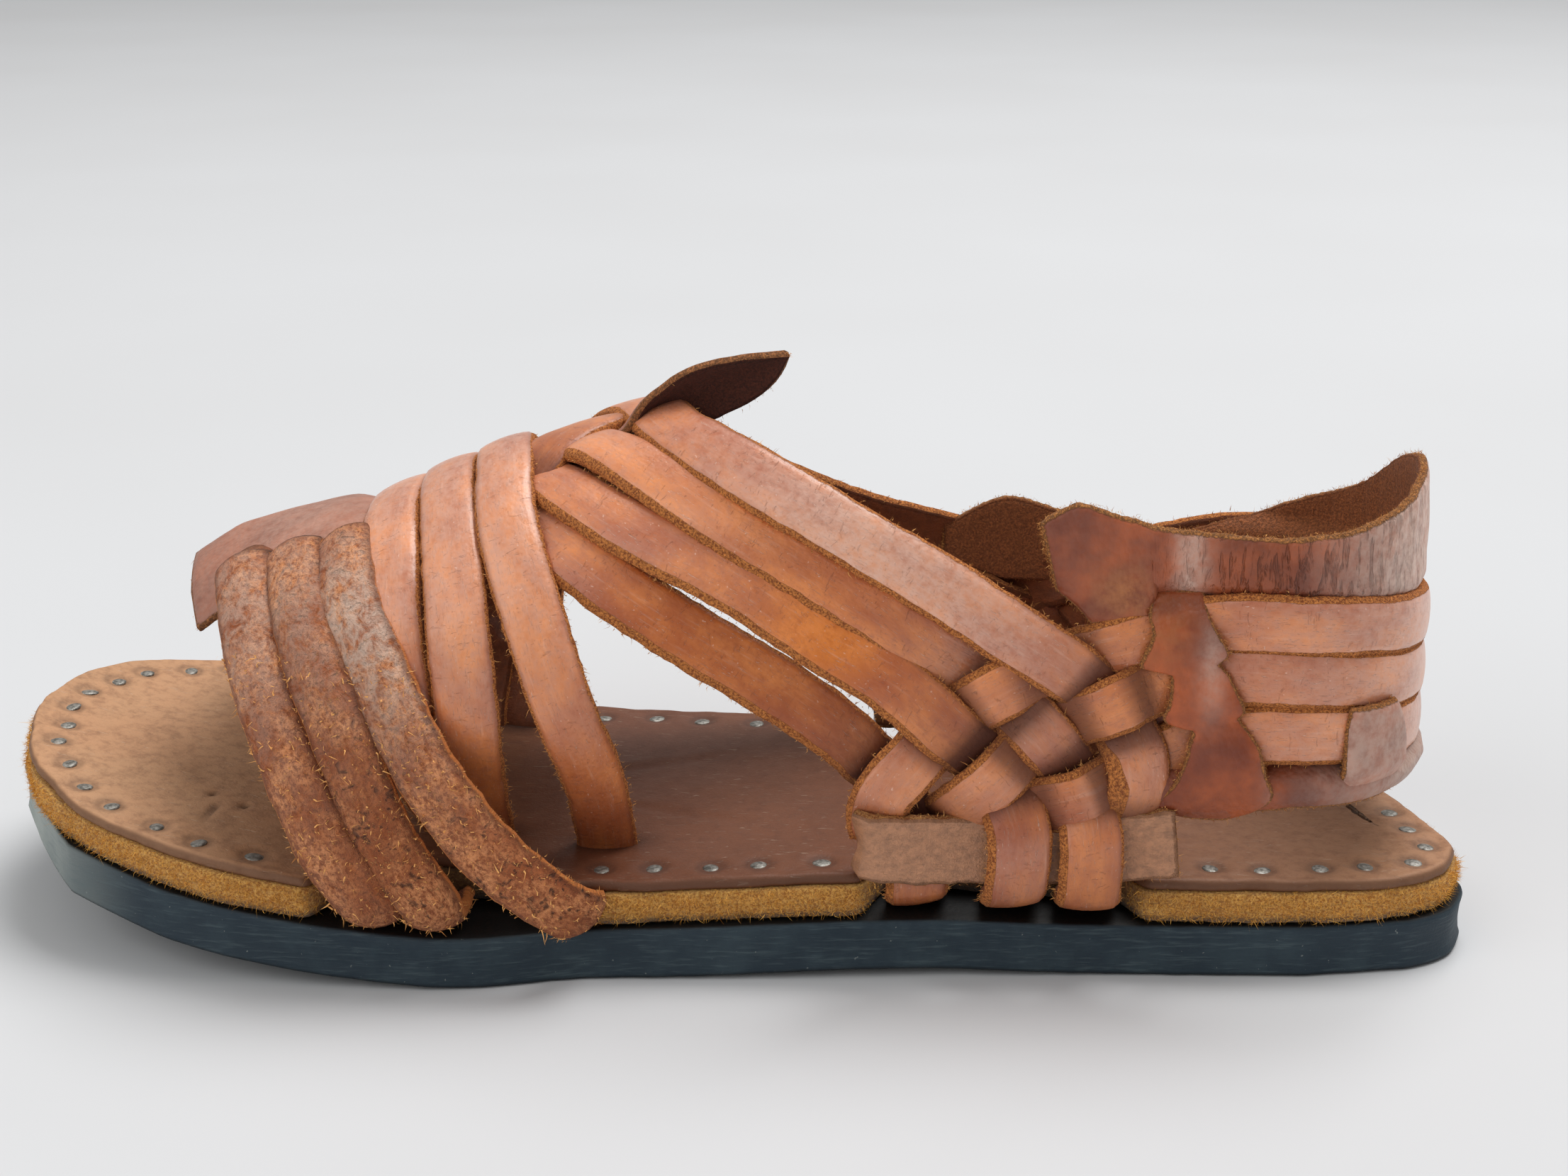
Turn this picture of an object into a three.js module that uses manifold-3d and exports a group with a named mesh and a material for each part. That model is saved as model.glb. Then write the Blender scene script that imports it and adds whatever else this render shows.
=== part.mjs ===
// Huarache sandal, left foot, size of a man's 27.5 cm foot.
// Millimetres. Toe towards -X, heel towards +X, outer (little toe) side towards -Y, +Z up.
// The sole stands on Z = 0 with the heel and the ball flat on it.
import * as THREE from 'three';
import { mergeVertices } from 'three/addons/utils/BufferGeometryUtils.js';
import Module from 'manifold-3d';

const wasm = await Module();
wasm.setup();

// ---- driving dimensions -------------------------------------------------
const footbedLength = 287;
const ballWidth = 98;
const heelWidth = 63;
const toeTip = -160;
const heelEnd = toeTip + footbedLength;
const outsoleThick = 10.5;
const midsoleThick = 6.2;
const insoleThick = 2;
const layerGap = 0.3;
const outsoleGrow = 2.4;
const midsoleGrow = 0.7;
const toeSpring = 16.5;
const springStart = -58;
const springPower = 1.6;
const archRise = 1.5;
const archMiddle = 18;
const archHalf = 52;
const instepHeight = 92;
const ankleHeight = 215;
const sectionPower = 2.3;
const heelCurveStart = 90;
const heelCurveDepth = 26.5;
const toeStrapWidth = 12;
const vampStrapWidth = 11.5;
const sideStrapWidth = 10.5;
const ankleStrapWidth = 10;
const footBandWidth = 13;
const suedeThick = 3;
const strapThick = 2.4;
const tongueThick = 2.2;
const cuffThick = 2.2;
const strapStep = 9;
const tipTaper = 3;
const soleSteps = 48;
const soleEndTrim = 0.003;
const outsoleBevel = 1;
const notchReach = 20;
const notchFlare = 9;
const cutterHeight = 60;
const cuffLean = 0.03;

const outsoleTop = outsoleThick;
const midsoleBottom = outsoleTop + layerGap;
const midsoleTop = midsoleBottom + midsoleThick;
const insoleBottom = midsoleTop + layerGap;
const insoleTop = insoleBottom + insoleThick;
const middleX = -16.5;
const middleY = -5.34;

// ---- materials ----------------------------------------------------------
function finish(color, roughness) {
  return new THREE.MeshStandardMaterial({ color, roughness, metalness: 0 });
}
const tyreRubber = finish('#23272c', 0.75);
const tanLeather = finish('#a8692c', 0.95);
const footbedLeather = finish('#7b4a30', 0.6);
const strapLeather = finish('#8e4b26', 0.5);
const cuffLeather = finish('#7e4a35', 0.55);
const tongueLeather = finish('#7a4630', 0.6);

// ---- small helpers ------------------------------------------------------
function smooth(rows, key, value, column) {
  // Catmull-Rom value of a column at a key, held at both ends of the table.
  const last = rows.length - 1;
  if (value <= rows[0][key]) return rows[0][column];
  if (value >= rows[last][key]) return rows[last][column];
  let i = 0;
  while (rows[i + 1][key] < value) i += 1;
  const a = rows[Math.max(i - 1, 0)];
  const b = rows[i];
  const c = rows[i + 1];
  const d = rows[Math.min(i + 2, last)];
  const span = c[key] - b[key];
  const t = (value - b[key]) / span;
  const slopeB = (c[column] - a[column]) / Math.max(c[key] - a[key], 1e-6) * span;
  const slopeC = (d[column] - b[column]) / Math.max(d[key] - b[key], 1e-6) * span;
  const t2 = t * t;
  const t3 = t2 * t;
  return (2 * t3 - 3 * t2 + 1) * b[column] + (t3 - 2 * t2 + t) * slopeB
    + (3 * t2 - 2 * t3) * c[column] + (t3 - t2) * slopeC;
}

function named(columns, rows) {
  return rows.map((row) => Object.fromEntries(columns.map((name, i) => [name, row[i]])));
}

// Rise of the whole sole above the floor: toe spring in front, a low arch in the waist.
function soleRise(x) {
  if (x < springStart) {
    return toeSpring * ((springStart - x) / (springStart - toeTip)) ** springPower;
  }
  const across = Math.abs(x - archMiddle) / archHalf;
  return across < 1 ? archRise * Math.cos(across * Math.PI / 2) ** 2 : 0;
}

// ---- solids -------------------------------------------------------------
function toSolid(positions, indices) {
  const geometry = new THREE.BufferGeometry();
  geometry.setAttribute('position', new THREE.Float32BufferAttribute(positions, 3));
  geometry.setIndex(indices);
  const merged = mergeVertices(geometry, 1e-4);
  return new wasm.Manifold(new wasm.Mesh({
    numProp: 3,
    vertProperties: new Float32Array(merged.attributes.position.array),
    triVerts: new Uint32Array(merged.index.array),
  }));
}

// A closed solid through rings of equal length, ordered anticlockwise seen against the run.
function loft(rings) {
  const count = rings[0].length;
  const positions = rings.flat().flatMap((p) => [p.x, p.y, p.z]);
  const indices = [];
  for (let r = 0; r + 1 < rings.length; r += 1) {
    for (let i = 0; i < count; i += 1) {
      const j = (i + 1) % count;
      const a = r * count + i;
      const b = r * count + j;
      const c = (r + 1) * count + j;
      const d = (r + 1) * count + i;
      indices.push(a, b, c, a, c, d);
    }
  }
  const end = (rings.length - 1) * count;
  for (let i = 1; i + 1 < count; i += 1) {
    indices.push(0, i + 1, i);
    indices.push(end, end + i, end + i + 1);
  }
  return toSolid(positions, indices);
}

function join(solids) {
  return solids.reduce((whole, solid) => whole.add(solid));
}

// The main body alone: crumbs of a cut and sealed pockets between crossing straps are dropped.
function mainBody(solid) {
  return solid.decompose().reduce((main, part) => (part.volume() > main.volume() ? part : main));
}

function toMesh(name, solid, material) {
  const { numProp, vertProperties, triVerts } = solid.getMesh();
  if (numProp !== 3) throw new Error(`${name} carries more than positions`);
  const geometry = new THREE.BufferGeometry();
  geometry.setAttribute('position', new THREE.Float32BufferAttribute(vertProperties, 3));
  geometry.setIndex(Array.from(triVerts));
  geometry.computeVertexNormals();
  const mesh = new THREE.Mesh(geometry, material);
  mesh.name = name;
  return mesh;
}

// ---- sole ---------------------------------------------------------------
// Edge of the footbed: outer and inner side at places along the foot.
const footbedEdge = named(['x', 'outer', 'inner'], [
  [toeTip, -4, -4],
  [-158, -16, 13],
  [-150, -33, 27],
  [-136, -46, 37],
  [-118, -53, 42],
  [-95, -0.57 * ballWidth, 0.43 * ballWidth],
  [-70, -54, 43.5],
  [-45, -48.5, 43],
  [-19, -45.5, 41.5],
  [5, -43, 38.5],
  [35, -40, 32.5],
  [65, -37.5, 28.5],
  [90, -0.57 * heelWidth, 0.42 * heelWidth],
  [105, -34.5, 22.5],
  [116, -31, 13],
  [123, -26, -2],
  [126, -20, -11],
  [heelEnd, -16, -16],
]);

// Stations crowd towards both ends, where the outline turns.
const edgeMiddle = (toeTip + heelEnd) / 2;
const edgeHalf = footbedLength / 2;
for (const row of footbedEdge) {
  row.turn = Math.acos(Math.min(1, Math.max(-1, (edgeMiddle - row.x) / edgeHalf)));
}

function solePlate(bottom, top, grow, bevel = 0) {
  const rings = [];
  for (let i = 0; i <= soleSteps; i += 1) {
    const turn = Math.PI * THREE.MathUtils.clamp(i / soleSteps, soleEndTrim, 1 - soleEndTrim);
    const x = edgeMiddle - (edgeHalf + grow) * Math.cos(turn);
    const outer = smooth(footbedEdge, 'turn', turn, 'outer') - grow * Math.sin(turn);
    const inner = smooth(footbedEdge, 'turn', turn, 'inner') + grow * Math.sin(turn);
    const rise = soleRise(x);
    rings.push([
      new THREE.Vector3(x, outer + bevel * Math.sin(turn), bottom + rise),
      new THREE.Vector3(x, inner - bevel * Math.sin(turn), bottom + rise),
      new THREE.Vector3(x, inner, top + rise),
      new THREE.Vector3(x, outer, top + rise),
    ]);
  }
  return loft(rings);
}

// Upright cutter standing on the floor, with four corners in plan.
function cutter(points) {
  const shape = new THREE.Shape(points.map(([x, y]) => new THREE.Vector2(x, y)));
  const prism = new THREE.ExtrudeGeometry(shape, { depth: cutterHeight, bevelEnabled: false });
  const { array, count } = prism.attributes.position;
  return toSolid(Array.from(array), [...Array(count).keys()]);
}

// A notch in from the edge; edge is below zero on the outer side. clear makes it smaller.
function notchCutter({ from, to, depth, edge }, clear) {
  const side = Math.sign(edge);
  const floor = edge - side * (depth - clear);
  const mouth = edge + side * notchReach;
  const ends = [
    [from + clear, floor], [to - clear, floor],
    [to + notchFlare, mouth], [from - notchFlare, mouth],
  ];
  return cutter(side < 0 ? ends.reverse() : ends);
}

// Where the straps pass down beside the footbed to be clenched under it.
const strapNotches = named(['from', 'to', 'depth', 'edge'], [
  [-88, -48, 14, -54],
  [15, 64, 9.5, -40],
  [-121, -80, 10, 43],
  [3, 62, 10, 34],
]);

// Slots in the footbed for the vamp straps that pass straight down through it.
const strapSlots = named(['x', 'y', 'turn'], [
  [-65, -25, -8],
  [-57, -25, -8],
  [-38, -28, -8],
  [-83, 30, 4],
  [-76, 31, 4],
  [-67, 32, 4],
]);
const slotLength = vampStrapWidth + 1.4;
const slotWidth = 4;

function slotCutter({ x, y, turn }, clear) {
  const cos = Math.cos(THREE.MathUtils.degToRad(turn));
  const sin = Math.sin(THREE.MathUtils.degToRad(turn));
  const corner = (u, v) => [x + u * cos - v * sin, y + u * sin + v * cos];
  const u = slotLength / 2 - clear;
  const v = slotWidth / 2 - clear;
  return cutter([corner(-u, -v), corner(u, -v), corner(u, v), corner(-u, v)]);
}

// A leather layer of the sole with its notches and slots, made larger all round by clear.
function leatherLayer(bottom, top, grow, clear = 0) {
  const cutters = [
    ...strapNotches.map((row) => notchCutter(row, clear)),
    ...strapSlots.map((row) => slotCutter(row, clear)),
  ];
  return solePlate(bottom - clear, top + clear, grow + clear).subtract(join(cutters));
}

const outsole = solePlate(0, outsoleTop, outsoleGrow, outsoleBevel);
const midsole = leatherLayer(midsoleBottom, midsoleTop, midsoleGrow);
const insole = leatherLayer(insoleBottom, insoleTop, 0);
const soleClearance = join([
  solePlate(0, outsoleTop + layerGap, outsoleGrow + layerGap),
  leatherLayer(midsoleBottom, insoleTop, midsoleGrow, layerGap),
]);

// ---- last ---------------------------------------------------------------
// Sections of the foot form: centre line, half width, underside and top of the instep.
const lastSections = named(['x', 'centre', 'half', 'base', 'ridge'], [
  [-150, -6, 0.41 * ballWidth, 24, 0.61 * instepHeight],
  [-130, -7, 0.47 * ballWidth, 20, 0.67 * instepHeight],
  [-118, -7, 0.50 * ballWidth, 17, 0.76 * instepHeight],
  [-90, -7, 0.52 * ballWidth, 13, 0.87 * instepHeight],
  [-60, -6, 0.50 * ballWidth, 12, instepHeight],
  [-45, -5, 0.47 * ballWidth, 12, 1.04 * instepHeight],
  [-28, -4, 0.45 * ballWidth, 12, 1.10 * instepHeight],
  [0, -3, 0.42 * ballWidth, 12, 1.28 * instepHeight],
  [20, -2, 0.41 * ballWidth, 12, 0.65 * ankleHeight],
  [45, -2, 0.58 * heelWidth, 12, 0.84 * ankleHeight],
  [70, -3, 0.54 * heelWidth, 12, ankleHeight],
  [90, -3, 0.51 * heelWidth, 12, ankleHeight],
]);

function lastField(p) {
  const x = Math.min(p.x, heelCurveStart);
  const centre = smooth(lastSections, 'x', x, 'centre');
  const half = smooth(lastSections, 'x', x, 'half');
  const base = smooth(lastSections, 'x', x, 'base');
  const ridge = smooth(lastSections, 'x', x, 'ridge');
  const side = (p.y - centre) / half;
  const back = Math.max(p.x - heelCurveStart, 0) / heelCurveDepth;
  const up = Math.max(p.z - base, 0) / (ridge - base);
  return Math.hypot(side, back) ** sectionPower + up ** sectionPower;
}

function lastNormal(p) {
  const step = 0.5;
  const slope = (axis) => {
    const ahead = p.clone();
    const behind = p.clone();
    ahead[axis] += step;
    behind[axis] -= step;
    return lastField(ahead) - lastField(behind);
  };
  return new THREE.Vector3(slope('x'), slope('y'), slope('z')).normalize();
}

// The inner side of this worn upper has sunk: share of its height lost by the inner wall.
const innerDrop = named(['x', 'share'], [[-30, 0.27], [8, 0.28], [40, 0.18], [70, 0.12], [120, 0.08]]);
const dropFloor = 20;
const dropReach = 70;

// The matching point on the inner side.
function mirrored([x, y, z]) {
  const centre = smooth(lastSections, 'x', Math.min(x, heelCurveStart), 'centre');
  const across = 2 * (centre - y);
  const share = smooth(innerDrop, 'x', x, 'share') * across / dropReach;
  return [x, y + across, dropFloor + (z - dropFloor) * (1 - share)];
}

// ---- straps -------------------------------------------------------------
// A flat strap along hand-set points, its face kept square to the last.
// tip narrows the last end of the strap to that width, and a fourth number in a row
// rolls the strap about its run, in degrees.
function strap(rows, width, thick, extra = 0, tip = width) {
  const rolls = rows.map((row) => row[3] ?? 0);
  const curve = new THREE.CatmullRomCurve3(
    rows.map(([x, y, z]) => new THREE.Vector3(x, y, z)), false, 'centripetal');
  const steps = Math.max(6, Math.round(curve.getLength() / strapStep));
  const rings = [];
  for (let i = 0; i <= steps; i += 1) {
    const u = i / steps;
    const middle = curve.getPointAt(u);
    const run = curve.getTangentAt(u);
    const out = lastNormal(middle);
    out.addScaledVector(run, -out.dot(run)).normalize();
    const place = curve.getUtoTmapping(u) * (rows.length - 1);
    const before = Math.min(Math.floor(place), rows.length - 2);
    const roll = THREE.MathUtils.lerp(rolls[before], rolls[before + 1], place - before);
    out.applyAxisAngle(run, THREE.MathUtils.degToRad(roll));
    const across = new THREE.Vector3().crossVectors(out, run).normalize();
    const taper = Math.min(1, (1 - u) * tipTaper);
    const half = (tip + (width - tip) * taper) / 2 + extra;
    const deep = thick / 2 + extra;
    const corner = (s, t) => middle.clone().addScaledVector(across, s).addScaledVector(out, t);
    rings.push([corner(-half, -deep), corner(half, -deep), corner(half, deep), corner(-half, deep)]);
  }
  return loft(rings);
}

// Each row is x, y, z of the middle of the strap, from the outer foot over to the inner foot.
const toeStraps = [
  [
    [-80, -43, 14.6], [-79, -53, 15.5], [-79, -57, 20], [-85, -57, 28], [-92, -54, 43],
    [-99, -47, 56], [-104, -36, 65], [-109, -18, 70.5], [-112, -3, 69], [-114, 12, 64],
    [-115, 27, 54], [-115, 38, 42], [-114, 44.5, 32], [-114, 46, 24], [-113, 38, 19.6],
  ],
  [
    [-68, -42, 13.4], [-67, -53, 14.4], [-67, -57, 19], [-74, -56, 29], [-81, -54, 45],
    [-87, -49, 58], [-93, -38, 68], [-99, -20, 73.5], [-101, -3, 72], [-102, 12, 67],
    [-102, 28, 56], [-102, 40, 43], [-101, 46, 32], [-101, 47, 22], [-100, 38, 17.2],
  ],
  [
    [-52, -41, 12.6], [-51, -51, 13.2], [-51, -55, 17], [-59, -54.5, 30], [-68, -53, 45],
    [-76, -48, 59], [-83, -39, 70], [-88, -20, 76.5], [-89, -3, 75.3], [-89, 12, 70],
    [-89, 28, 59], [-88, 41, 45], [-87, 46.5, 32], [-87, 47, 21], [-87, 38, 15.2],
  ],
];
const vampStraps = [
  [
    [-65, -25, 13], [-65, -26, 21], [-66, -37, 35], [-69, -46, 52], [-73, -43, 66],
    [-77, -33, 76], [-80, -18, 81.5], [-81, -3, 81.5], [-82, 12, 77], [-83, 28, 65],
    [-83, 40, 50], [-83, 41, 36], [-83, 31, 23], [-83, 30, 14],
  ],
  [
    [-57, -25, 12.6], [-57, -26, 20], [-57.5, -36, 34], [-59, -46, 50], [-61, -44.5, 67],
    [-65, -34, 79.5], [-69, -18, 86], [-71, -3, 86.3], [-72, 12, 81], [-73, 28, 68],
    [-74, 41, 52], [-75, 42, 36], [-76, 32, 22], [-76, 31, 13.4],
  ],
  [
    [-38, -28, 12.6], [-38, -29, 20], [-38.5, -38, 36], [-44, -46.5, 54], [-50, -42, 71],
    [-55, -30, 84.5], [-58, -14, 91], [-60, -3, 91], [-62, 12, 85], [-63, 28, 72],
    [-64, 42, 55], [-66, 43, 36], [-67, 33, 21], [-67, 32, 13.2],
  ],
];

// Long straps from the instep down to the weave at the ankle, outer side.
const sideStraps = [
  [
    [-28, -13, 98.5], [-10, -30, 95], [8, -36, 87], [26, -38, 77], [39, -38.5, 69],
    [54, -38.5, 60], [61, -36, 50], [66, -37, 38], [68, -37.5, 24],
  ],
  [
    [-50, -6, 92.5], [-42, -19, 93.5], [-28, -28, 91], [-14, -34, 86], [9, -38, 75],
    [24, -39, 66], [34, -38, 59], [45, -39, 50], [53, -38.5, 38], [55, -40, 26],
    [55, -40, 16], [55, -33, 13],
  ],
  [
    [-56, -12, 89.5], [-49, -22, 89.5], [-34, -32, 84.5], [-11, -38, 76], [6, -40, 66],
    [24, -41, 55], [35, -39, 45], [41, -40.5, 34], [42, -41, 23], [42, -40.5, 16],
    [42, -33, 13],
  ],
  [
    [-54, -25, 87.5], [-47, -32, 83], [-37, -37, 76.5], [-24, -39.5, 69], [-8, -41, 60],
    [5, -42, 52], [15, -41, 43], [20, -40, 33], [22, -40, 22], [22, -40, 16],
    [22, -33, 13],
  ],
];

// Top of the first outer strap carried over the instep to the inner foot, and the
// matching inner strap carried over to be tucked in on the outer side.
const outerOverInstep = [
  [-71, 32, 13.2], [-71, 34, 21], [-71, 45, 38], [-68, 44.5, 56], [-59, 34, 74],
  [-47, 17, 89], [-37, 1, 96.5],
];
const innerOverInstep = [[-54, -22, 90.5], [-51, -13, 93], [-44, -3, 94.5]];

// Ankle straps, from the weave through the cuff to the back of the heel.
const ankleStraps = [
  [
    [13, -43, 31], [20, -41.5, 40], [28, -39.5, 50], [39, -39.5, 59], [55, -37, 65],
    [68, -36.5, 68], [78, -36, 71], [84, -37.2, 71.5], [92, -37.3, 71.5],
    [102, -33.5, 71.5], [111, -25.5, 71], [116.5, -14, 70.5], [118.5, -3, 70],
  ],
  [
    [32, -39.5, 33], [39, -40.5, 41], [47, -38, 49], [59, -38.5, 54.5], [70, -36.5, 58],
    [78, -36, 58.5], [84, -37.2, 59], [92, -37.3, 59], [102, -33.5, 59],
    [111, -25.5, 58.5], [116.5, -14, 58], [118.5, -3, 57.5],
  ],
  [
    [46, -39, 28], [53, -37.5, 36], [63, -38.5, 42], [71, -36.5, 44.5],
    [78, -36, 46], [84, -37.2, 46.5], [92, -37.3, 46.5], [102, -33.5, 46.5],
    [111, -25.5, 46], [116.5, -14, 45.5], [118.5, -3, 45.5],
  ],
];
const footBand = [[12, -43, 28], [20, -43, 26.5], [34, -41.5, 26], [52, -40, 26.5], [70, -39, 27.5]];

function bothSides(rows) {
  const back = rows.slice(0, -1).map(mirrored).reverse();
  return [...rows, ...back];
}

function upperStraps(extra) {
  const [first, ...others] = sideStraps;
  const innerFirst = first.map(mirrored);
  const pieces = [
    ...toeStraps.map((rows) => strap(rows, toeStrapWidth, suedeThick, extra)),
    ...vampStraps.map((rows) => strap(rows, vampStrapWidth, strapThick, extra)),
    strap([...outerOverInstep, ...first], sideStrapWidth, strapThick, extra),
    strap([...innerOverInstep, ...innerFirst], sideStrapWidth, strapThick, extra),
    ...others.map((rows) => strap(rows, sideStrapWidth, strapThick, extra)),
    ...others.map((rows) => strap(rows.map(mirrored), sideStrapWidth, strapThick, extra)),
    ...ankleStraps.map((rows) => strap(bothSides(rows), ankleStrapWidth, strapThick, extra)),
    strap(footBand, footBandWidth, strapThick, extra),
    strap(footBand.map(mirrored), footBandWidth, strapThick, extra),
  ];
  return join(pieces);
}

// ---- tongue strip -------------------------------------------------------
// Hangs over the toes, runs back under the vamp straps and ends in a curled leaf.
const tongueRows = [
  [-123, -4, 53, 0], [-120, -4, 61, 0], [-115, -4, 68, 0], [-108, -4, 72.3, 0],
  [-100, -4, 75.2, 0], [-91, -3.5, 78.3, 0], [-82, -3, 78.2, 0], [-71, -3, 83, 0],
  [-60, -3, 87.7, 0], [-50, -3, 90.2, 0], [-43, -3, 91.2, 0], [-38, -3, 94.5, 8],
  [-32, -3, 100.5, 25], [-24, -4, 105, 45], [-14, -5, 108.5, 50], [-5, -6, 111.5, 50],
];
const tongueWidth = 22;
const tongueTipWidth = 5;

function tongueSolid(extra) {
  return strap(tongueRows, tongueWidth, tongueThick, extra, tongueTipWidth);
}

// ---- heel cuff ----------------------------------------------------------
// One wide leather wall round the heel, open in front. Rows run from the outer front
// edge round the back to the inner front edge: middle of the wall, top and bottom edge.
const cuffRows = named(['x', 'y', 'top', 'bottom'], [
  [46, -36, 86, 74],
  [51, -36.5, 90, 69],
  [57, -36.5, 89, 69.5],
  [63, -38.5, 88, 70],
  [64.5, -39.6, 87.5, 40],
  [72, -40.2, 86.5, 34],
  [79, -38.8, 86, 33],
  [84, -35.6, 86, 34],
  [92, -34.4, 86.5, 36],
  [101, -30.6, 88, 37],
  [109, -22.6, 90, 37],
  [114.4, -11, 93, 34],
  [115.8, -3, 94, 32],
  [114.4, 5, 91, 33],
  [109, 16.6, 85, 36],
  [101, 24.6, 81, 36],
  [92, 28.4, 78.5, 34],
  [84, 29.6, 77, 32],
  [79, 32.8, 76, 31],
  [72, 34.2, 75, 31.5],
  [64.5, 33.8, 74.5, 38],
  [63, 33, 74, 59],
  [50, 32.5, 73.5, 58],
  [38, 33, 74, 58],
  [28, 34, 72, 62],
]);

function cuffWall() {
  const rings = cuffRows.map((row, i) => {
    const before = cuffRows[Math.max(i - 1, 0)];
    const after = cuffRows[Math.min(i + 1, cuffRows.length - 1)];
    const run = new THREE.Vector2(after.x - before.x, after.y - before.y).normalize();
    const out = new THREE.Vector2(run.y, -run.x).multiplyScalar(cuffThick / 2);
    const lean = cuffLean * (row.top - row.bottom);
    const inward = out.clone().normalize().multiplyScalar(-lean);
    const level = (row.top + row.bottom) / 2;
    const point = (side, z, shift) => new THREE.Vector3(
      row.x + side * out.x + shift * inward.x, row.y + side * out.y + shift * inward.y, z);
    return [
      point(-1, row.bottom, 0), point(-1, level, 0), point(-1, row.top, 1),
      point(1, row.top, 1), point(1, level, 0), point(1, row.bottom, 0),
    ];
  });
  return loft(rings);
}

// ---- assembly -----------------------------------------------------------
const tongue = tongueSolid(0);
const upper = mainBody(upperStraps(0).subtract(tongueSolid(layerGap)).subtract(soleClearance));
const cuff = mainBody(cuffWall().subtract(upperStraps(layerGap)));

// The origin lies under the middle of the box that the sandal fills.
const sandal = new THREE.Group();
sandal.position.set(-middleX, -middleY, 0);
sandal.add(
  toMesh('outsole', outsole, tyreRubber),
  toMesh('midsole', midsole, tanLeather),
  toMesh('insole', insole, footbedLeather),
  toMesh('upper_straps', upper, strapLeather),
  toMesh('tongue_strip', tongue, tongueLeather),
  toMesh('heel_cuff', cuff, cuffLeather),
);

export default sandal;
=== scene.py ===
import math

import bpy
import numpy as np
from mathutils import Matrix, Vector, noise

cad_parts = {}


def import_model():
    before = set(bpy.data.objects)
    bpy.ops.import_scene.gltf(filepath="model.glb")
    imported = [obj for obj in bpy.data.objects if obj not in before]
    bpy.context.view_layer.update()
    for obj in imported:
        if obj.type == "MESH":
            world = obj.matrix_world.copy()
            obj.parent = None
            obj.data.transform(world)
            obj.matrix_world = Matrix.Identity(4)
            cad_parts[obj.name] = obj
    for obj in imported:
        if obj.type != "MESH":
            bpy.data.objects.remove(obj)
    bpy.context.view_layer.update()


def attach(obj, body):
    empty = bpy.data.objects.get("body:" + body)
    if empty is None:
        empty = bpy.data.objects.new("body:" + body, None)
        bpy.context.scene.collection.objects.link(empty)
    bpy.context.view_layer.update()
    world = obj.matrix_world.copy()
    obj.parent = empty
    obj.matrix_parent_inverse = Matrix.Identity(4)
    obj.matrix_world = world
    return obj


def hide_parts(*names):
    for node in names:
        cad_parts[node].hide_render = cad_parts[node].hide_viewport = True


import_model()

# Left huarache sandal. Sizes are in millimetres in the shoemaker's own frame: toe towards -X,
# outer side towards -Y, floor at Z = 0. place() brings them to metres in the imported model's frame.
MIDDLE = np.array([-16.5, -5.34, 0.0])
TOE_TIP = -160.0
HEEL_END = 127.0
BALL_WIDTH = 98.0
HEEL_WIDTH = 63.0
INSTEP = 92.0
ANKLE = 215.0
OUTSOLE_THICK = 10.5
MIDSOLE_BOTTOM = 10.8
MIDSOLE_TOP = 17.0
INSOLE_BOTTOM = 17.3
INSOLE_TOP = 19.3
TOE_STRAP_WIDTH = 10.5
VAMP_STRAP_WIDTH = 10.8
SIDE_STRAP_WIDTH = 10.8
ANKLE_STRAP_WIDTH = 10.4
FOOT_BAND_WIDTH = 12.6
SUEDE_THICK = 3.0
STRAP_THICK = 2.8
CUFF_THICK = 2.2
TONGUE_THICK = 2.2


# ---- curves and tables ----------------------------------------------------
def smooth(keys, values, at):
    """Catmull-Rom value of a table at a key, held at both ends."""
    keys = np.asarray(keys, float)
    values = np.asarray(values, float)
    at = np.clip(np.asarray(at, float), keys[0], keys[-1])
    last = len(keys) - 1
    b = np.clip(np.searchsorted(keys, at, side="right") - 1, 0, last - 1)
    a = np.maximum(b - 1, 0)
    c = b + 1
    d = np.minimum(b + 2, last)
    span = keys[c] - keys[b]
    t = (at - keys[b]) / span
    slope_b = (values[c] - values[a]) / (keys[c] - keys[a]) * span
    slope_c = (values[d] - values[b]) / (keys[d] - keys[b]) * span
    t2 = t * t
    t3 = t2 * t
    return ((2 * t3 - 3 * t2 + 1) * values[b] + (t3 - 2 * t2 + t) * slope_b
            + (3 * t2 - 2 * t3) * values[c] + (t3 - t2) * slope_c)


def columns(names, rows):
    """A short table as a dictionary of columns."""
    return dict(zip(names, np.array(rows, float).T))


def ease(x, low, high):
    """0 below low, 1 above high, smooth between."""
    t = np.clip((np.asarray(x, float) - low) / (high - low), 0, 1)
    return t * t * (3 - 2 * t)


def bell(x, middle, reach):
    return np.exp(-((np.asarray(x, float) - middle) / reach) ** 2)


def unit(v):
    return v / np.maximum(np.linalg.norm(v, axis=-1, keepdims=True), 1e-9)


def wander(count, pitch, seed):
    """A smooth random walk between -1 and 1, with one new value every pitch steps."""
    knots = np.random.default_rng(seed).uniform(-1, 1, int(count / pitch) + 3)
    return smooth(np.arange(len(knots)), knots, np.arange(count) / pitch)


def lumps(points, size, seed=0.0):
    """Smooth noise between -1 and 1 at each point, with lumps of this size."""
    flat = np.asarray(points, float).reshape(-1, 3) / size + seed
    values = [noise.noise(p) for p in flat.tolist()]
    return np.array(values).reshape(np.asarray(points).shape[:-1])


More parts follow.
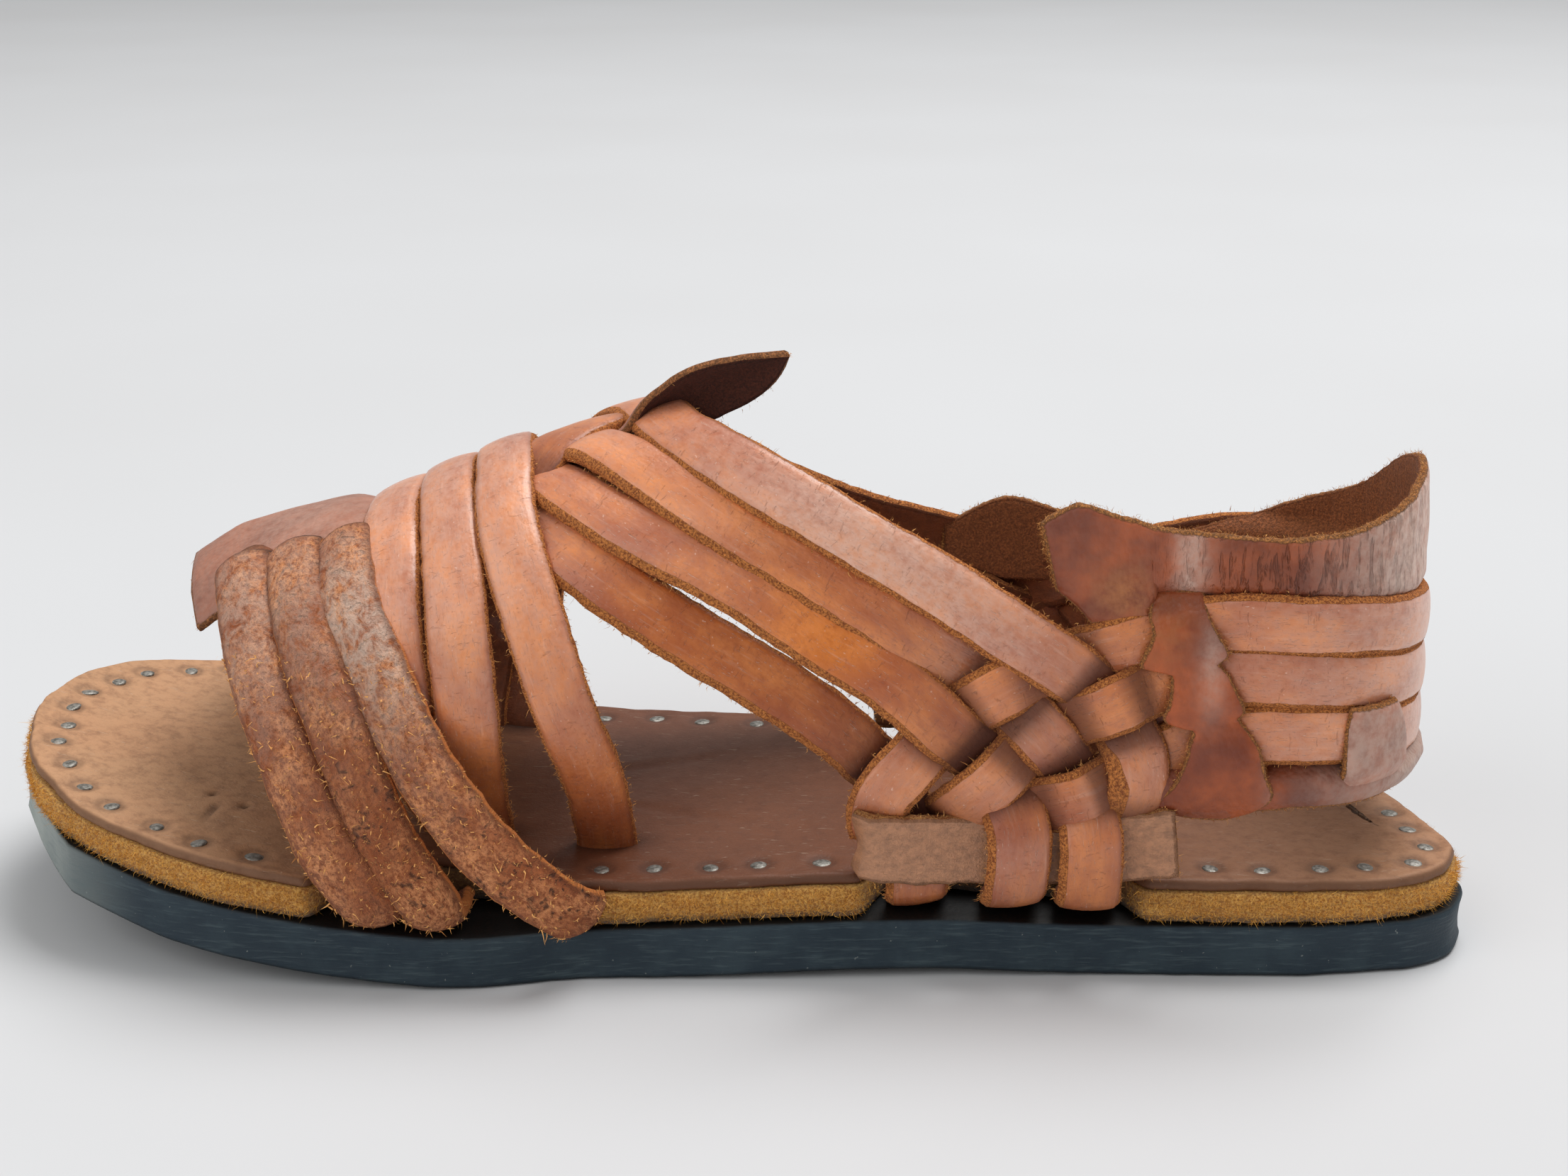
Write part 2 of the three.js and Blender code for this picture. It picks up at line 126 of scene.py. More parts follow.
def run_through(rows, step):
    """Points every step mm along the curve through rows, and each one's place in the table."""
    ghost = np.vstack([2 * rows[0] - rows[1], rows, 2 * rows[-1] - rows[-2]])
    fine = []
    place = []
    t = np.linspace(0, 1, 16, endpoint=False)[:, None]
    for i in range(len(rows) - 1):
        a, b, c, d = ghost[i:i + 4]
        first, mid, end = (max(math.sqrt(np.linalg.norm(q - p)), 1e-4)
                           for p, q in ((a, b), (b, c), (c, d)))
        slope_b = ((b - a) / first - (c - a) / (first + mid) + (c - b) / mid) * mid
        slope_c = ((c - b) / mid - (d - b) / (mid + end) + (d - c) / end) * mid
        fine.append((2 * t**3 - 3 * t**2 + 1) * b + (t**3 - 2 * t**2 + t) * slope_b
                    + (3 * t**2 - 2 * t**3) * c + (t**3 - t**2) * slope_c)
        place.append(i + t[:, 0])
    fine = np.vstack([*fine, rows[-1:]])
    place = np.append(np.concatenate(place), len(rows) - 1)
    length = np.append(0, np.cumsum(np.linalg.norm(np.diff(fine, axis=0), axis=1)))
    at = np.linspace(0, length[-1], max(8, int(length[-1] / step)))
    points = np.stack([np.interp(at, length, fine[:, k]) for k in range(3)], axis=1)
    return points, np.interp(at, length, place), at


# ---- the last -------------------------------------------------------------
LAST = columns(["x", "centre", "half", "base", "ridge"], [
    (-150, -6, 0.41 * BALL_WIDTH, 24, 0.61 * INSTEP),
    (-130, -7, 0.47 * BALL_WIDTH, 20, 0.67 * INSTEP),
    (-118, -7, 0.50 * BALL_WIDTH, 17, 0.76 * INSTEP),
    (-90, -7, 0.52 * BALL_WIDTH, 13, 0.87 * INSTEP),
    (-60, -6, 0.50 * BALL_WIDTH, 12, INSTEP),
    (-45, -5, 0.47 * BALL_WIDTH, 12, 1.04 * INSTEP),
    (-28, -4, 0.45 * BALL_WIDTH, 12, 1.10 * INSTEP),
    (0, -3, 0.42 * BALL_WIDTH, 12, 1.28 * INSTEP),
    (20, -2, 0.41 * BALL_WIDTH, 12, 0.65 * ANKLE),
    (45, -2, 0.58 * HEEL_WIDTH, 12, 0.84 * ANKLE),
    (70, -3, 0.54 * HEEL_WIDTH, 12, ANKLE),
    (90, -3, 0.51 * HEEL_WIDTH, 12, ANKLE),
])
HEEL_CURVE_START = 90.0
HEEL_CURVE_DEPTH = 26.5
SECTION_POWER = 2.3
INNER_DROP = columns(["x", "share"], [(-30, 0.27), (8, 0.28), (40, 0.18), (70, 0.12), (120, 0.08)])


def last_field(p):
    x = np.minimum(p[:, 0], HEEL_CURVE_START)
    centre, half, base, ridge = (smooth(LAST["x"], LAST[k], x)
                                 for k in ("centre", "half", "base", "ridge"))
    side = (p[:, 1] - centre) / half
    back = np.maximum(p[:, 0] - HEEL_CURVE_START, 0) / HEEL_CURVE_DEPTH
    up = np.maximum(p[:, 2] - base, 0) / (ridge - base)
    return np.hypot(side, back) ** SECTION_POWER + up ** SECTION_POWER


def last_normals(p):
    slopes = [last_field(p + 0.5 * axis) - last_field(p - 0.5 * axis) for axis in np.eye(3)]
    return unit(np.stack(slopes, axis=1))


FOOTBED_LEVEL = 20


def mirrored(rows):
    """The matching rows on the inner side, whose worn wall has sunk."""
    twin = []
    for x, y, z, *rest in rows:
        if len(rest) == 2:
            rest = [rest[0], -rest[1]]
        across = 2 * (float(smooth(LAST["x"], LAST["centre"], min(x, HEEL_CURVE_START))) - y)
        share = float(smooth(INNER_DROP["x"], INNER_DROP["share"], x)) * across / 70
        twin.append((x, y + across, FOOTBED_LEVEL + (z - FOOTBED_LEVEL) * (1 - share), *rest))
    return twin


# ---- meshes ---------------------------------------------------------------
def place(points):
    return (np.asarray(points, float) - MIDDLE) / 1000


def piece(name, points, faces, finish, node, paint):
    """One object from millimetre points, with its finish and its place in the frame."""
    mesh = bpy.data.meshes.new(name)
    mesh.from_pydata(place(points).tolist(), [], faces)
    for key, values in paint.items():
        layer = mesh.attributes.new(key, "FLOAT", "POINT")
        layer.data.foreach_set("value", np.asarray(values, np.float32).ravel())
    mesh.shade_smooth()
    mesh.materials.append(finish)
    thing = bpy.data.objects.new(name, mesh)
    bpy.context.scene.collection.objects.link(thing)
    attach(thing, "root")
    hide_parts(node)


def grid_faces(rows, cols, start=0):
    i, j = np.meshgrid(np.arange(rows - 1), np.arange(cols - 1), indexing="ij")
    a = (start + i * cols + j).ravel()
    return np.stack([a, a + cols, a + cols + 1, a + 1], axis=1)


EDGE_THINNING = 0.34
EDGE_REACH = 0.55
EDGE_SWELL = 0.16


def slab(grid, thick, seed, ragged=0.12, **paint):
    """A leather sheet of this thickness about a grid of middle points, with raw cut edges.
    Gives its points, faces and paint, its cut edge, and the places inside its upper face."""
    rows, cols = grid.shape[:2]
    rng = np.random.default_rng(seed)
    normal = unit(np.cross(np.gradient(grid, axis=0), np.gradient(grid, axis=1)))
    reach = []
    for axis in (0, 1):
        gaps = np.linalg.norm(np.diff(grid, axis=axis), axis=2)
        start = np.zeros_like(gaps.take([0], axis=axis))
        run = np.concatenate([start, np.cumsum(gaps, axis=axis)], axis=axis)
        reach += [run, run.max(axis=axis, keepdims=True) - run]
    inset = np.minimum.reduce(reach)
    soft = 1 - EDGE_THINNING * np.exp(-((inset / EDGE_REACH) ** 2))
    top = grid + normal * (thick / 2 * soft)[..., None]
    bottom = grid - normal * (thick / 2 * (0.5 + 0.5 * soft))[..., None]
    border = ([(i, 0) for i in range(rows)] + [(rows - 1, j) for j in range(1, cols)]
              + [(i, cols - 1) for i in range(rows - 2, -1, -1)]
              + [(0, j) for j in range(cols - 2, 0, -1)])
    bi, bj = np.array(border).T
    near = grid[np.clip(bi, 1, rows - 2), np.clip(bj, 1, cols - 2)]
    out = unit(grid[bi, bj] - near)
    count = len(border)
    swell = (EDGE_SWELL * thick + ragged * rng.uniform(-1, 1, (2, count)))[..., None]
    half = np.broadcast_to(thick, grid.shape[:2])[bi, bj][:, None] / 2
    rings = [grid[bi, bj] + out * swell[k] + normal[bi, bj] * half * level
             for k, level in enumerate((0.42, -0.5))]
    size = rows * cols
    faces = [grid_faces(rows, cols), grid_faces(rows, cols, size)[:, ::-1]]
    flat = bi * cols + bj
    loops = [flat, 2 * size + np.arange(count), 2 * size + count + np.arange(count), size + flat]
    for high, low in zip(loops, loops[1:]):
        faces.append(np.stack([high, low, np.roll(low, -1), np.roll(high, -1)], axis=1))
    paint = {key: np.broadcast_to(values, (rows, cols)) for key, values in paint.items()}
    whole = {key: np.concatenate([values.ravel(), values.ravel(), values[bi, bj], values[bi, bj]])
             for key, values in paint.items()}
    ring = np.full(2 * count, -0.3)
    whole["inset"] = np.concatenate([inset.ravel(), inset.ravel(), ring])
    whole["back"] = np.concatenate([np.zeros(size), np.ones(size), np.full(2 * count, 0.4)])
    points = np.concatenate([top.reshape(-1, 3), bottom.reshape(-1, 3), *rings])
    edge = {"at": (rings[0] + rings[1]) / 2, "out": out}
    face = {"at": top[:, 1:-1].reshape(-1, 3), "normal": normal[:, 1:-1].reshape(-1, 3)}
    return points, np.concatenate(faces).tolist(), whole, edge, face


FIBRES = {"strap": [], "suede": [], "sole": [], "cuff": []}


def fibre_tufts(group, at, out, seed, per_point, length, spread=0.9, tone=0.5, wide=0.05):
    """Loose leather fibres that stand from these points, kept for one joined piece."""
    rng = np.random.default_rng(seed)
    pick = rng.integers(0, len(at), int(len(at) * per_point))
    root = at[pick] + rng.normal(0, 0.22, (len(pick), 3))
    lean = unit(out[pick] + rng.normal(0, spread, (len(pick), 3)))
    long = length * rng.uniform(0.4, 1.3, (len(pick), 1))
    bend = rng.normal(0, 0.45, (len(pick), 3)) * long
    side = unit(np.cross(lean, rng.normal(0, 1, (len(pick), 3))))
    side = side * rng.uniform(0.6, 1.4, (len(pick), 1)) * wide
    mid = root + lean * long * 0.55
    tip = root + lean * long + bend
    shade = np.clip(rng.normal(tone, 0.25, len(pick)), 0, 1)
    FIBRES[group].append((root - side, root + side, mid - side * 0.8, mid + side * 0.8, tip, shade))


def fibre_piece(name, group, finish, node):
    """All the fibres of a group as one mesh: each a tapered quad with a triangle for its tip."""
    *corners, shade = (np.concatenate(column) for column in zip(*FIBRES[group]))
    count = len(shade)
    a, b, c, d, e = (np.arange(count) + k * count for k in range(5))
    quads = np.stack([a, b, d, c], axis=1).tolist()
    tips = np.stack([c, d, e], axis=1).tolist()
    piece(name, np.concatenate(corners), quads + tips, finish, node,
          {"tint": np.tile(shade, len(corners))})


# ---- shader work ----------------------------------------------------------
class Wire:
    """A node's output, with Python's own arithmetic. A sum of wires adds its Math nodes."""

    def __init__(self, finish, socket):
        self.finish = finish
        self.socket = socket

    def math(self, operation, first, second):
        return self.finish.node("ShaderNodeMath", {"operation": operation}, {0: first, 1: second})

    def __add__(self, other):
        return self.math("ADD", self, other)

    def __sub__(self, other):
        return self.math("SUBTRACT", self, other)

    def __rsub__(self, other):
        return self.math("SUBTRACT", other, self)

    def __mul__(self, other):
        return self.math("MULTIPLY", self, other)

    __radd__ = __add__
    __rmul__ = __mul__


class Finish:
    """A material made of nodes, all of them from one method."""

    def __init__(self, name, **constants):
        self.material = bpy.data.materials.new(name)
        self.material.use_nodes = True
        self.tree = self.material.node_tree
        self.tree.nodes.clear()
        self.shader = self.tree.nodes.new("ShaderNodeBsdfPrincipled")
        output = self.tree.nodes.new("ShaderNodeOutputMaterial")
        self.tree.links.new(self.shader.outputs[0], output.inputs[0])
        for key, value in constants.items():
            self.shader.inputs[key.replace("_", " ")].default_value = value

    def node(self, kind, settings=None, sockets=None, out=0):
        made = self.tree.nodes.new(kind)
        for key, value in (settings or {}).items():
            setattr(made, key, value)
        for key, value in (sockets or {}).items():
            if isinstance(value, Wire):
                self.tree.links.new(value.socket, made.inputs[key])
            else:
                made.inputs[key].default_value = value
        return Wire(self, made.outputs[out])

    def painted(self, name):
        return self.node("ShaderNodeAttribute", {"attribute_name": name}, out="Fac")

    def spot(self, stretch=(1, 1, 1)):
        """Place on the object in mm, with each axis stretched for a grain that runs one way."""
        where = self.node("ShaderNodeTexCoord", out="Object")
        scale = tuple(1000 * s for s in stretch)
        return self.node("ShaderNodeVectorMath", {"operation": "MULTIPLY"}, {0: where, 1: scale})

    def strap_spot(self, stretch=(1, 1)):
        """Place on a strap: mm along it and across it, apart for each strap."""
        along = self.painted("along") * stretch[0]
        across = self.painted("across") * stretch[1]
        return self.node("ShaderNodeCombineXYZ", None,
                         {"X": along, "Y": across, "Z": self.painted("strand") * 37.0})

    def grain(self, where, size, detail=2.0, rough=0.5, twist=0.0):
        return self.node("ShaderNodeTexNoise", None, {
            "Vector": where, "Scale": 1 / size, "Detail": detail, "Roughness": rough,
            "Distortion": twist})

    def cells(self, where, size, feature="F1"):
        return self.node("ShaderNodeTexVoronoi", {"feature": feature},
                         {"Vector": where, "Scale": 1 / size})

    def step(self, value, low, high):
        return self.node("ShaderNodeMapRange", {"interpolation_type": "SMOOTHSTEP"},
                         {0: value, 1: low, 2: high, 3: 0.0, 4: 1.0})

    def mix(self, amount, first, second):
        first, second = ((*c, 1) if isinstance(c, tuple) else c for c in (first, second))
        return self.node("ShaderNodeMix", {"data_type": "RGBA"},
                         {0: amount, 6: first, 7: second}, out=2)

    def layers(self, colour, rows):
        """Colours laid over the first one in turn, each by its own amount."""
        for amount, over in rows:
            colour = self.mix(amount, colour, over)
        return colour

    def bump(self, height, distance):
        """Relief of this depth in mm."""
        return self.node("ShaderNodeBump", None,
                         {"Height": height, "Distance": distance / 1000, "Strength": 1.0})

    def drive(self, **wires):
        for key, wire in wires.items():
            self.tree.links.new(wire.socket, self.shader.inputs[key.replace("_", " ")])
        return self.material


def tint(red, green, blue):
    """A colour as the eye reads it, 0 to 255, in the shader's own linear numbers."""
    return tuple((c / 255 / 12.92) if c <= 10 else ((c / 255 + 0.055) / 1.055) ** 2.4
                 for c in (red, green, blue))


def darker(color, share):
    return tuple(share * c for c in color)


def strap_finish(name, base, deep, pale, gold, edge, flesh):
    """Smooth vegetable-tanned leather: mottled, waxy, raw at the edges, with a painted highlight where it
    is painted pale and painted shade where it is painted dark.
    """
    f = Finish(name, Specular_IOR_Level=0.55, Coat_Roughness=0.18)
    where = f.strap_spot((0.8, 1.0))
    broad = f.grain(f.strap_spot((0.5, 1.0)), 9.0, 3.0, 0.6)
    mottle = f.grain(where, 1.7, 4.0, 0.65)
    pores = f.cells(where, 0.75)
    streak = f.grain(f.strap_spot((0.12, 1.4)), 1.1, 3.0, 0.6)
    scratch = f.step(f.grain(f.strap_spot((0.35, 3.0)), 0.55, 1.0, 0.5, 1.2), 0.66, 0.74)
    wrinkle = f.step(f.grain(f.strap_spot((1.3, 0.45)), 1.3, 4.0, 0.65, 1.4), 0.6, 0.72)
    speck = f.step(f.grain(where, 0.62, 1.0, 0.5), 0.72, 0.79)
    dark = f.painted("dark")
    beside = 1 - f.step(f.painted("inset"), 0.3, 1.1)
    ragged = f.painted("inset") + (f.grain(where, 0.7, 3.0, 0.7) - 0.5) * 0.9 - f.painted("raw") * 3.0
    rim = 1 - f.step(ragged, 0.02, 0.34)
    crumbs = f.grain(f.spot(), 0.45, 3.0, 0.75)
    raw = f.mix(f.step(crumbs, 0.36, 0.58), tint(150, 74, 30), edge)
    fuzzy = f.mix(f.step(mottle, 0.25, 0.7), darker(flesh, 0.62), flesh)
    flesh_side = f.step(f.painted("back"), 0.45, 0.55)
    colour = f.layers(f.mix(f.step(broad, 0.3, 0.72), deep, base), [
        (f.painted("gold") * f.step(mottle, 0.15, 0.75), gold),
        (f.step(mottle, 0.4, 0.72) * 0.5, deep),
        # painted highlight: the pale colour laid where light falls on the strap
        (f.painted("pale") * (0.35 + 0.4 * f.step(mottle, 0.25, 0.7)), pale),
        (f.step(streak, 0.55, 0.8) * 0.18, pale),
        (wrinkle * 0.14, darker(deep, 0.5)),
        (scratch * 0.35 + speck * 0.4, pale),
        (beside * 0.35, darker(deep, 0.4)),
        # painted shade: low down by the sole and where the strap sinks or dives under another
        (dark, darker(deep, 0.18)),
        (rim * (1 - dark * 0.6), raw),
        (flesh_side, fuzzy),
    ])
    rough = 0.3 + 0.16 * mottle + 0.06 * f.painted("pale") + 0.45 * rim + 0.4 * dark
    wax = 0.4 * (1 - dark) * (1 - rim)
    height = (pores * -0.3 + mottle * 0.5 + streak * 0.25 - scratch * 0.3 - wrinkle * 0.35
              + rim * f.step(crumbs, 0.3, 0.7) * 1.6 + flesh_side * crumbs * 2.0)
    return f.drive(Base_Color=colour, Roughness=rough, Coat_Weight=wax, Normal=f.bump(height, 0.24))


def suede_finish():
    """Rough-out strap: cracked nap, grey-white dusting, dark creases."""
    f = Finish("suede strap", Specular_IOR_Level=0.3, Sheen_Weight=0.04)
    where = f.strap_spot((0.7, 1.0))
    broad = f.grain(where, 7.0, 3.0, 0.6)
    nap = f.grain(where, 0.75, 4.0, 0.75)
    crack = f.cells(f.strap_spot((1.0, 0.55)), 2.3, "DISTANCE_TO_EDGE")
    torn = f.grain(where, 2.4, 4.0, 0.7, 0.6)
    lint = f.step(f.grain(f.strap_spot(), 0.5, 2.0, 0.6, 1.5), 0.62, 0.7)
    cracks = (1 - f.step(crack, 0.0, 0.12)) * f.step(torn, 0.52, 0.64) * f.painted("torn")
    # grey-white dust on the suede, together with a painted highlight where it is painted pale
    dust_and_highlight = f.painted("pale") * f.step(torn, 0.3, 0.62)
    beside = 1 - f.step(f.painted("inset"), 0.5, 2.2)
    rim = 1 - f.step(f.painted("inset") + (nap - 0.5) * 1.4, 0.0, 0.6)
    hide = f.mix(f.step(broad, 0.3, 0.7), tint(170, 92, 50), tint(240, 162, 108))
    colour = f.layers(f.mix(f.step(nap, 0.36, 0.62), tint(150, 82, 48), hide), [
        (cracks * 0.8, tint(64, 32, 22)),
        (dust_and_highlight * 0.75, tint(238, 212, 194)),
        (lint * f.painted("torn") * 0.8, tint(250, 180, 112)),
        (beside * 0.55, tint(96, 50, 30)),
        # painted shade
        (f.painted("dark"), tint(56, 28, 18)),
        (rim * 0.8, tint(226, 138, 70)),
    ])
    height = nap + torn * 0.9 - cracks + lint * 0.5
    return f.drive(Base_Color=colour, Roughness=0.78 + 0.15 * nap, Normal=f.bump(height, 0.8))


def cuff_finish(name, base, deep, pale, edge, flesh):
    """Soft pebbled leather with fine creases."""
    f = Finish(name, Specular_IOR_Level=0.5, Sheen_Weight=0.02)
    where = f.spot()
    broad = f.grain(where, 13.0, 3.0, 0.6)
    mottle = f.grain(where, 2.2, 4.0, 0.65)
    pebble = f.cells(f.spot((1.0, 1.0, 0.75)), 0.95)
    crease = f.step(f.grain(f.spot((1.0, 1.0, 0.2)), 1.5, 3.0, 0.6, 0.4), 0.5, 0.66)
    crumbs = f.grain(where, 0.45, 3.0, 0.75)
    ragged = f.painted("inset") + (f.grain(where, 0.8, 3.0, 0.7) - 0.5) * 0.9
    rim = 1 - f.step(ragged, 0.0, 0.4)
    flesh_side = f.step(f.painted("back"), 0.45, 0.55)
    colour = f.layers(f.mix(f.step(broad, 0.3, 0.7), deep, base), [
        (f.step(mottle, 0.4, 0.8) * 0.4, deep),
        (f.painted("gold") * f.step(mottle, 0.2, 0.7), tint(196, 118, 52)),
        # painted highlight where the leather is painted pale
        (f.painted("pale") * (0.4 + 0.6 * f.step(mottle, 0.2, 0.7)), pale),
        # painted shade in the pleat creases and where the leather is painted dark
        (f.painted("pleat") * crease * 0.35, darker(deep, 0.3)),
        (f.painted("dark"), darker(deep, 0.3)),
        (rim, f.mix(f.step(crumbs, 0.4, 0.68), darker(edge, 0.3), edge)),
        (flesh_side, f.mix(f.step(crumbs, 0.35, 0.7), darker(flesh, 0.4), flesh)),
    ])
    rough = 0.4 + 0.14 * mottle + 0.35 * rim + 0.3 * flesh_side
    height = (pebble * -0.55 + mottle * 0.4 - f.painted("pleat") * crease * 1.7
              + (rim + flesh_side) * crumbs * 2.0)
    return f.drive(Base_Color=colour, Roughness=rough, Normal=f.bump(height, 0.3))


def footbed_finish():
    """Insole: paler at the toe and heel, darker in the middle, wiped and scratched."""
    f = Finish("footbed leather", Specular_IOR_Level=0.4, Coat_Roughness=0.4)
    where = f.spot()
    broad = f.grain(where, 22.0, 3.0, 0.6)
    mottle = f.grain(where, 2.6, 4.0, 0.7)
    pores = f.grain(where, 0.5, 2.0, 0.6)
    scuff = f.step(f.grain(f.spot((0.4, 2.2, 1.0)), 1.3, 2.0, 0.5, 0.8), 0.64, 0.72)
    worn = f.painted("worn")
    rim = 1 - f.step(f.painted("inset") + (mottle - 0.5) * 0.8, 0.1, 0.8)
    colour = f.layers(f.mix(worn, tint(112, 62, 40), tint(198, 152, 114)), [
        (f.step(broad, 0.35, 0.7) * 0.45, f.mix(worn, tint(92, 52, 38), tint(206, 152, 112))),
        (f.step(mottle, 0.4, 0.75) * 0.4, tint(96, 58, 42)),
        (scuff * 0.22, tint(226, 200, 176)),
        # grime and painted shade round the nails, in the awl holes and the strap slots
        (f.painted("grime_and_shade"), tint(44, 24, 18)),
        (rim * 0.7, tint(92, 58, 38)),
    ])
    height = mottle * 0.5 + pores * 0.4 - scuff * 0.3 + broad * 0.8
    rough = 0.42 + 0.2 * mottle + 0.15 * worn
    return f.drive(Base_Color=colour, Roughness=rough, Normal=f.bump(height, 0.22))


def midsole_finish():
    """Raw cut edge of thick tan leather, fibrous and golden, burnished along its foot."""
    f = Finish("raw tan midsole", Specular_IOR_Level=0.2, Sheen_Weight=0.2, Sheen_Roughness=0.6)
    where = f.spot()
    nap = f.grain(where, 0.5, 4.0, 0.75)
    layer = f.grain(f.spot((0.25, 0.25, 2.2)), 1.6, 3.0, 0.6)
    broad = f.grain(where, 9.0, 2.0, 0.5)
    colour = f.layers(f.mix(f.step(nap, 0.36, 0.64), tint(180, 112, 42), tint(255, 200, 106)), [
        (f.step(layer, 0.5, 0.75) * 0.4, tint(128, 84, 44)),
        (f.step(broad, 0.5, 0.8) * 0.35, tint(150, 104, 62)),
        (f.painted("burnish") * 0.85, tint(104, 78, 58)),
        # painted shade in the strap notches
        (f.painted("grime_and_shade"), tint(40, 26, 18)),
    ])
    return f.drive(Base_Color=colour, Roughness=0.8 + 0.15 * nap, Normal=f.bump(nap + layer * 0.6, 0.6))


def rubber_finish():
    """Knife-cut tyre rubber: blue-black, with slanting blade marks and pale scuffs at the toe."""
    f = Finish("tyre rubber", Specular_IOR_Level=0.35)
    where = f.spot()
    slant = f.node("ShaderNodeMapping", None,
                   {"Vector": where, "Rotation": (0.0, 0.9, 0.0), "Scale": (0.14, 0.14, 1.6)})
    marks = f.grain(slant, 1.0, 3.0, 0.6)
    cloud = f.grain(where, 11.0, 4.0, 0.6)
    speck = f.step(f.grain(where, 0.9, 2.0, 0.5), 0.72, 0.78)
    toe = f.painted("worn")
    colour = f.layers(f.mix(toe, tint(36, 51, 62), tint(160, 168, 164)), [
        (f.step(cloud, 0.4, 0.7) * 0.5, f.mix(toe, tint(60, 76, 84), tint(128, 138, 138))),
        (f.step(marks, 0.5, 0.72) * 0.3, tint(92, 108, 112)),
        (speck * 0.35, tint(170, 176, 170)),
        # painted shade, near black
        (f.painted("dark"), tint(3, 4, 5)),
    ])
    height = marks * 0.9 + cloud * 0.6 + f.grain(where, 0.6, 2.0, 0.6) * 0.3
    return f.drive(Base_Color=colour, Roughness=0.5 + 0.22 * cloud, Normal=f.bump(height, 0.25))


def nail_finish():
    f = Finish("nail steel", Specular_IOR_Level=0.5)
    where = f.spot()
    rub = f.grain(where, 0.8, 3.0, 0.6)
    colour = f.mix(f.step(rub, 0.35, 0.7), tint(112, 110, 104), tint(176, 174, 168))
    rust = f.step(f.grain(where, 1.6, 2.0, 0.6), 0.6, 0.75)
    colour = f.mix(rust * 0.5, colour, tint(104, 78, 58))
    return f.drive(Base_Color=colour, Metallic=0.7 - rust * 0.5, Roughness=0.34 + 0.3 * rub,
                   Normal=f.bump(rub, 0.08))


def fibre_finish(name, dark, light):
    f = Finish(name, Roughness=0.9, Specular_IOR_Level=0.15)
    shade = f.painted("tint") + (f.grain(f.spot(), 6.0, 2.0, 0.5) - 0.5) * 0.4
    return f.drive(Base_Color=f.mix(shade, dark, light))


STRAP = strap_finish(
    "strap leather", base=tint(238, 140, 68), deep=tint(172, 78, 26), pale=tint(255, 214, 194),
    gold=tint(240, 134, 14), edge=tint(248, 156, 78), flesh=tint(150, 80, 40))
SUEDE = suede_finish()
BAND = strap_finish(
    "flesh side band", base=tint(178, 118, 86), deep=tint(128, 76, 50), pale=tint(210, 166, 134),
    gold=tint(206, 128, 52), edge=tint(226, 164, 96), flesh=tint(214, 152, 112))
CUFF_LEATHER = cuff_finish(
    "cuff leather", base=tint(190, 92, 40), deep=tint(120, 48, 16), pale=tint(236, 206, 190),
    edge=tint(214, 140, 72), flesh=tint(190, 112, 62))
TONGUE = cuff_finish(
    "tongue leather", base=tint(180, 106, 76), deep=tint(128, 66, 44), pale=tint(218, 178, 160),
    edge=tint(200, 130, 76), flesh=tint(104, 50, 32))
FOOTBED = footbed_finish()
MIDSOLE = midsole_finish()
RUBBER = rubber_finish()
NAIL = nail_finish()
FIBRE = fibre_finish("edge fibre", tint(150, 84, 40), tint(244, 182, 112))
NAP = fibre_finish("midsole nap", tint(180, 112, 36), tint(255, 200, 104))


# ---- sole -----------------------------------------------------------------
EDGE = columns(["x", "outer", "inner"], [
    (TOE_TIP, -4, -4), (-158, -16, 13), (-150, -33, 27), (-136, -46, 37), (-118, -53, 42),
    (-95, -0.57 * BALL_WIDTH, 0.43 * BALL_WIDTH), (-70, -54, 43.5), (-45, -48.5, 43),
    (-19, -45.5, 41.5), (5, -43, 38.5), (35, -40, 32.5), (65, -37.5, 28.5),
    (90, -0.57 * HEEL_WIDTH, 0.42 * HEEL_WIDTH), (105, -34.5, 22.5), (116, -31, 13),
    (123, -26, -2), (126, -20, -11), (HEEL_END, -16, -16),
])
EDGE_MIDDLE = (TOE_TIP + HEEL_END) / 2
EDGE_HALF = (HEEL_END - TOE_TIP) / 2
EDGE["turn"] = np.arccos(np.clip((EDGE_MIDDLE - EDGE["x"]) / EDGE_HALF, -1, 1))
EDGE_PITCH = 0.85
SPINE_FRONT = -128.0
SPINE_BACK = 98.0
# Cut into the insole and midsole for the straps: from x to x, down to y.
NOTCHES = columns(["start", "end", "floor"], [
    (-88, -48, -40), (15, 64, -30.5), (-121, -80, 33), (3, 62, 24),
])
SLOTS = columns(["x", "y"], [(-68, -25), (-63, -25), (-38, -28), (-83, 30), (-76, 31), (-67, 32)])


TOE_SPRING = 16.5
SPRING_START = -58
ARCH_RISE = 1.5
ARCH_MIDDLE = 18
ARCH_REACH = 52


def sole_rise(x):
    """How far the whole sole is lifted over the floor at x: toe spring and arch."""
    spring = TOE_SPRING * np.clip((SPRING_START - x) / (SPRING_START - TOE_TIP), 0, None) ** 1.6
    along_arch = np.clip(np.abs(x - ARCH_MIDDLE) / ARCH_REACH, 0, 1)
    return spring + ARCH_RISE * np.cos(along_arch * math.pi / 2) ** 2


def edge_loop(grow, pitch):
    """The sole's outline, toe to heel on the outer side and back on the inner side."""
    turn = np.linspace(0, math.pi, 900)
    x = EDGE_MIDDLE - (EDGE_HALF + grow) * np.cos(turn)
    outer = smooth(EDGE["turn"], EDGE["outer"], turn) - grow * np.sin(turn)
    inner = smooth(EDGE["turn"], EDGE["inner"], turn) + grow * np.sin(turn)
    loop = np.concatenate([np.stack([x, outer], 1), np.stack([x, inner], 1)[::-1]])
    loop = np.vstack([loop, loop[:1]])
    run = np.append(0, np.cumsum(np.linalg.norm(np.diff(loop, axis=0), axis=1)))
    at = np.linspace(0, run[-1], int(run[-1] / pitch), endpoint=False)
    return np.stack([np.interp(at, run, loop[:, k]) for k in (0, 1)], axis=1)


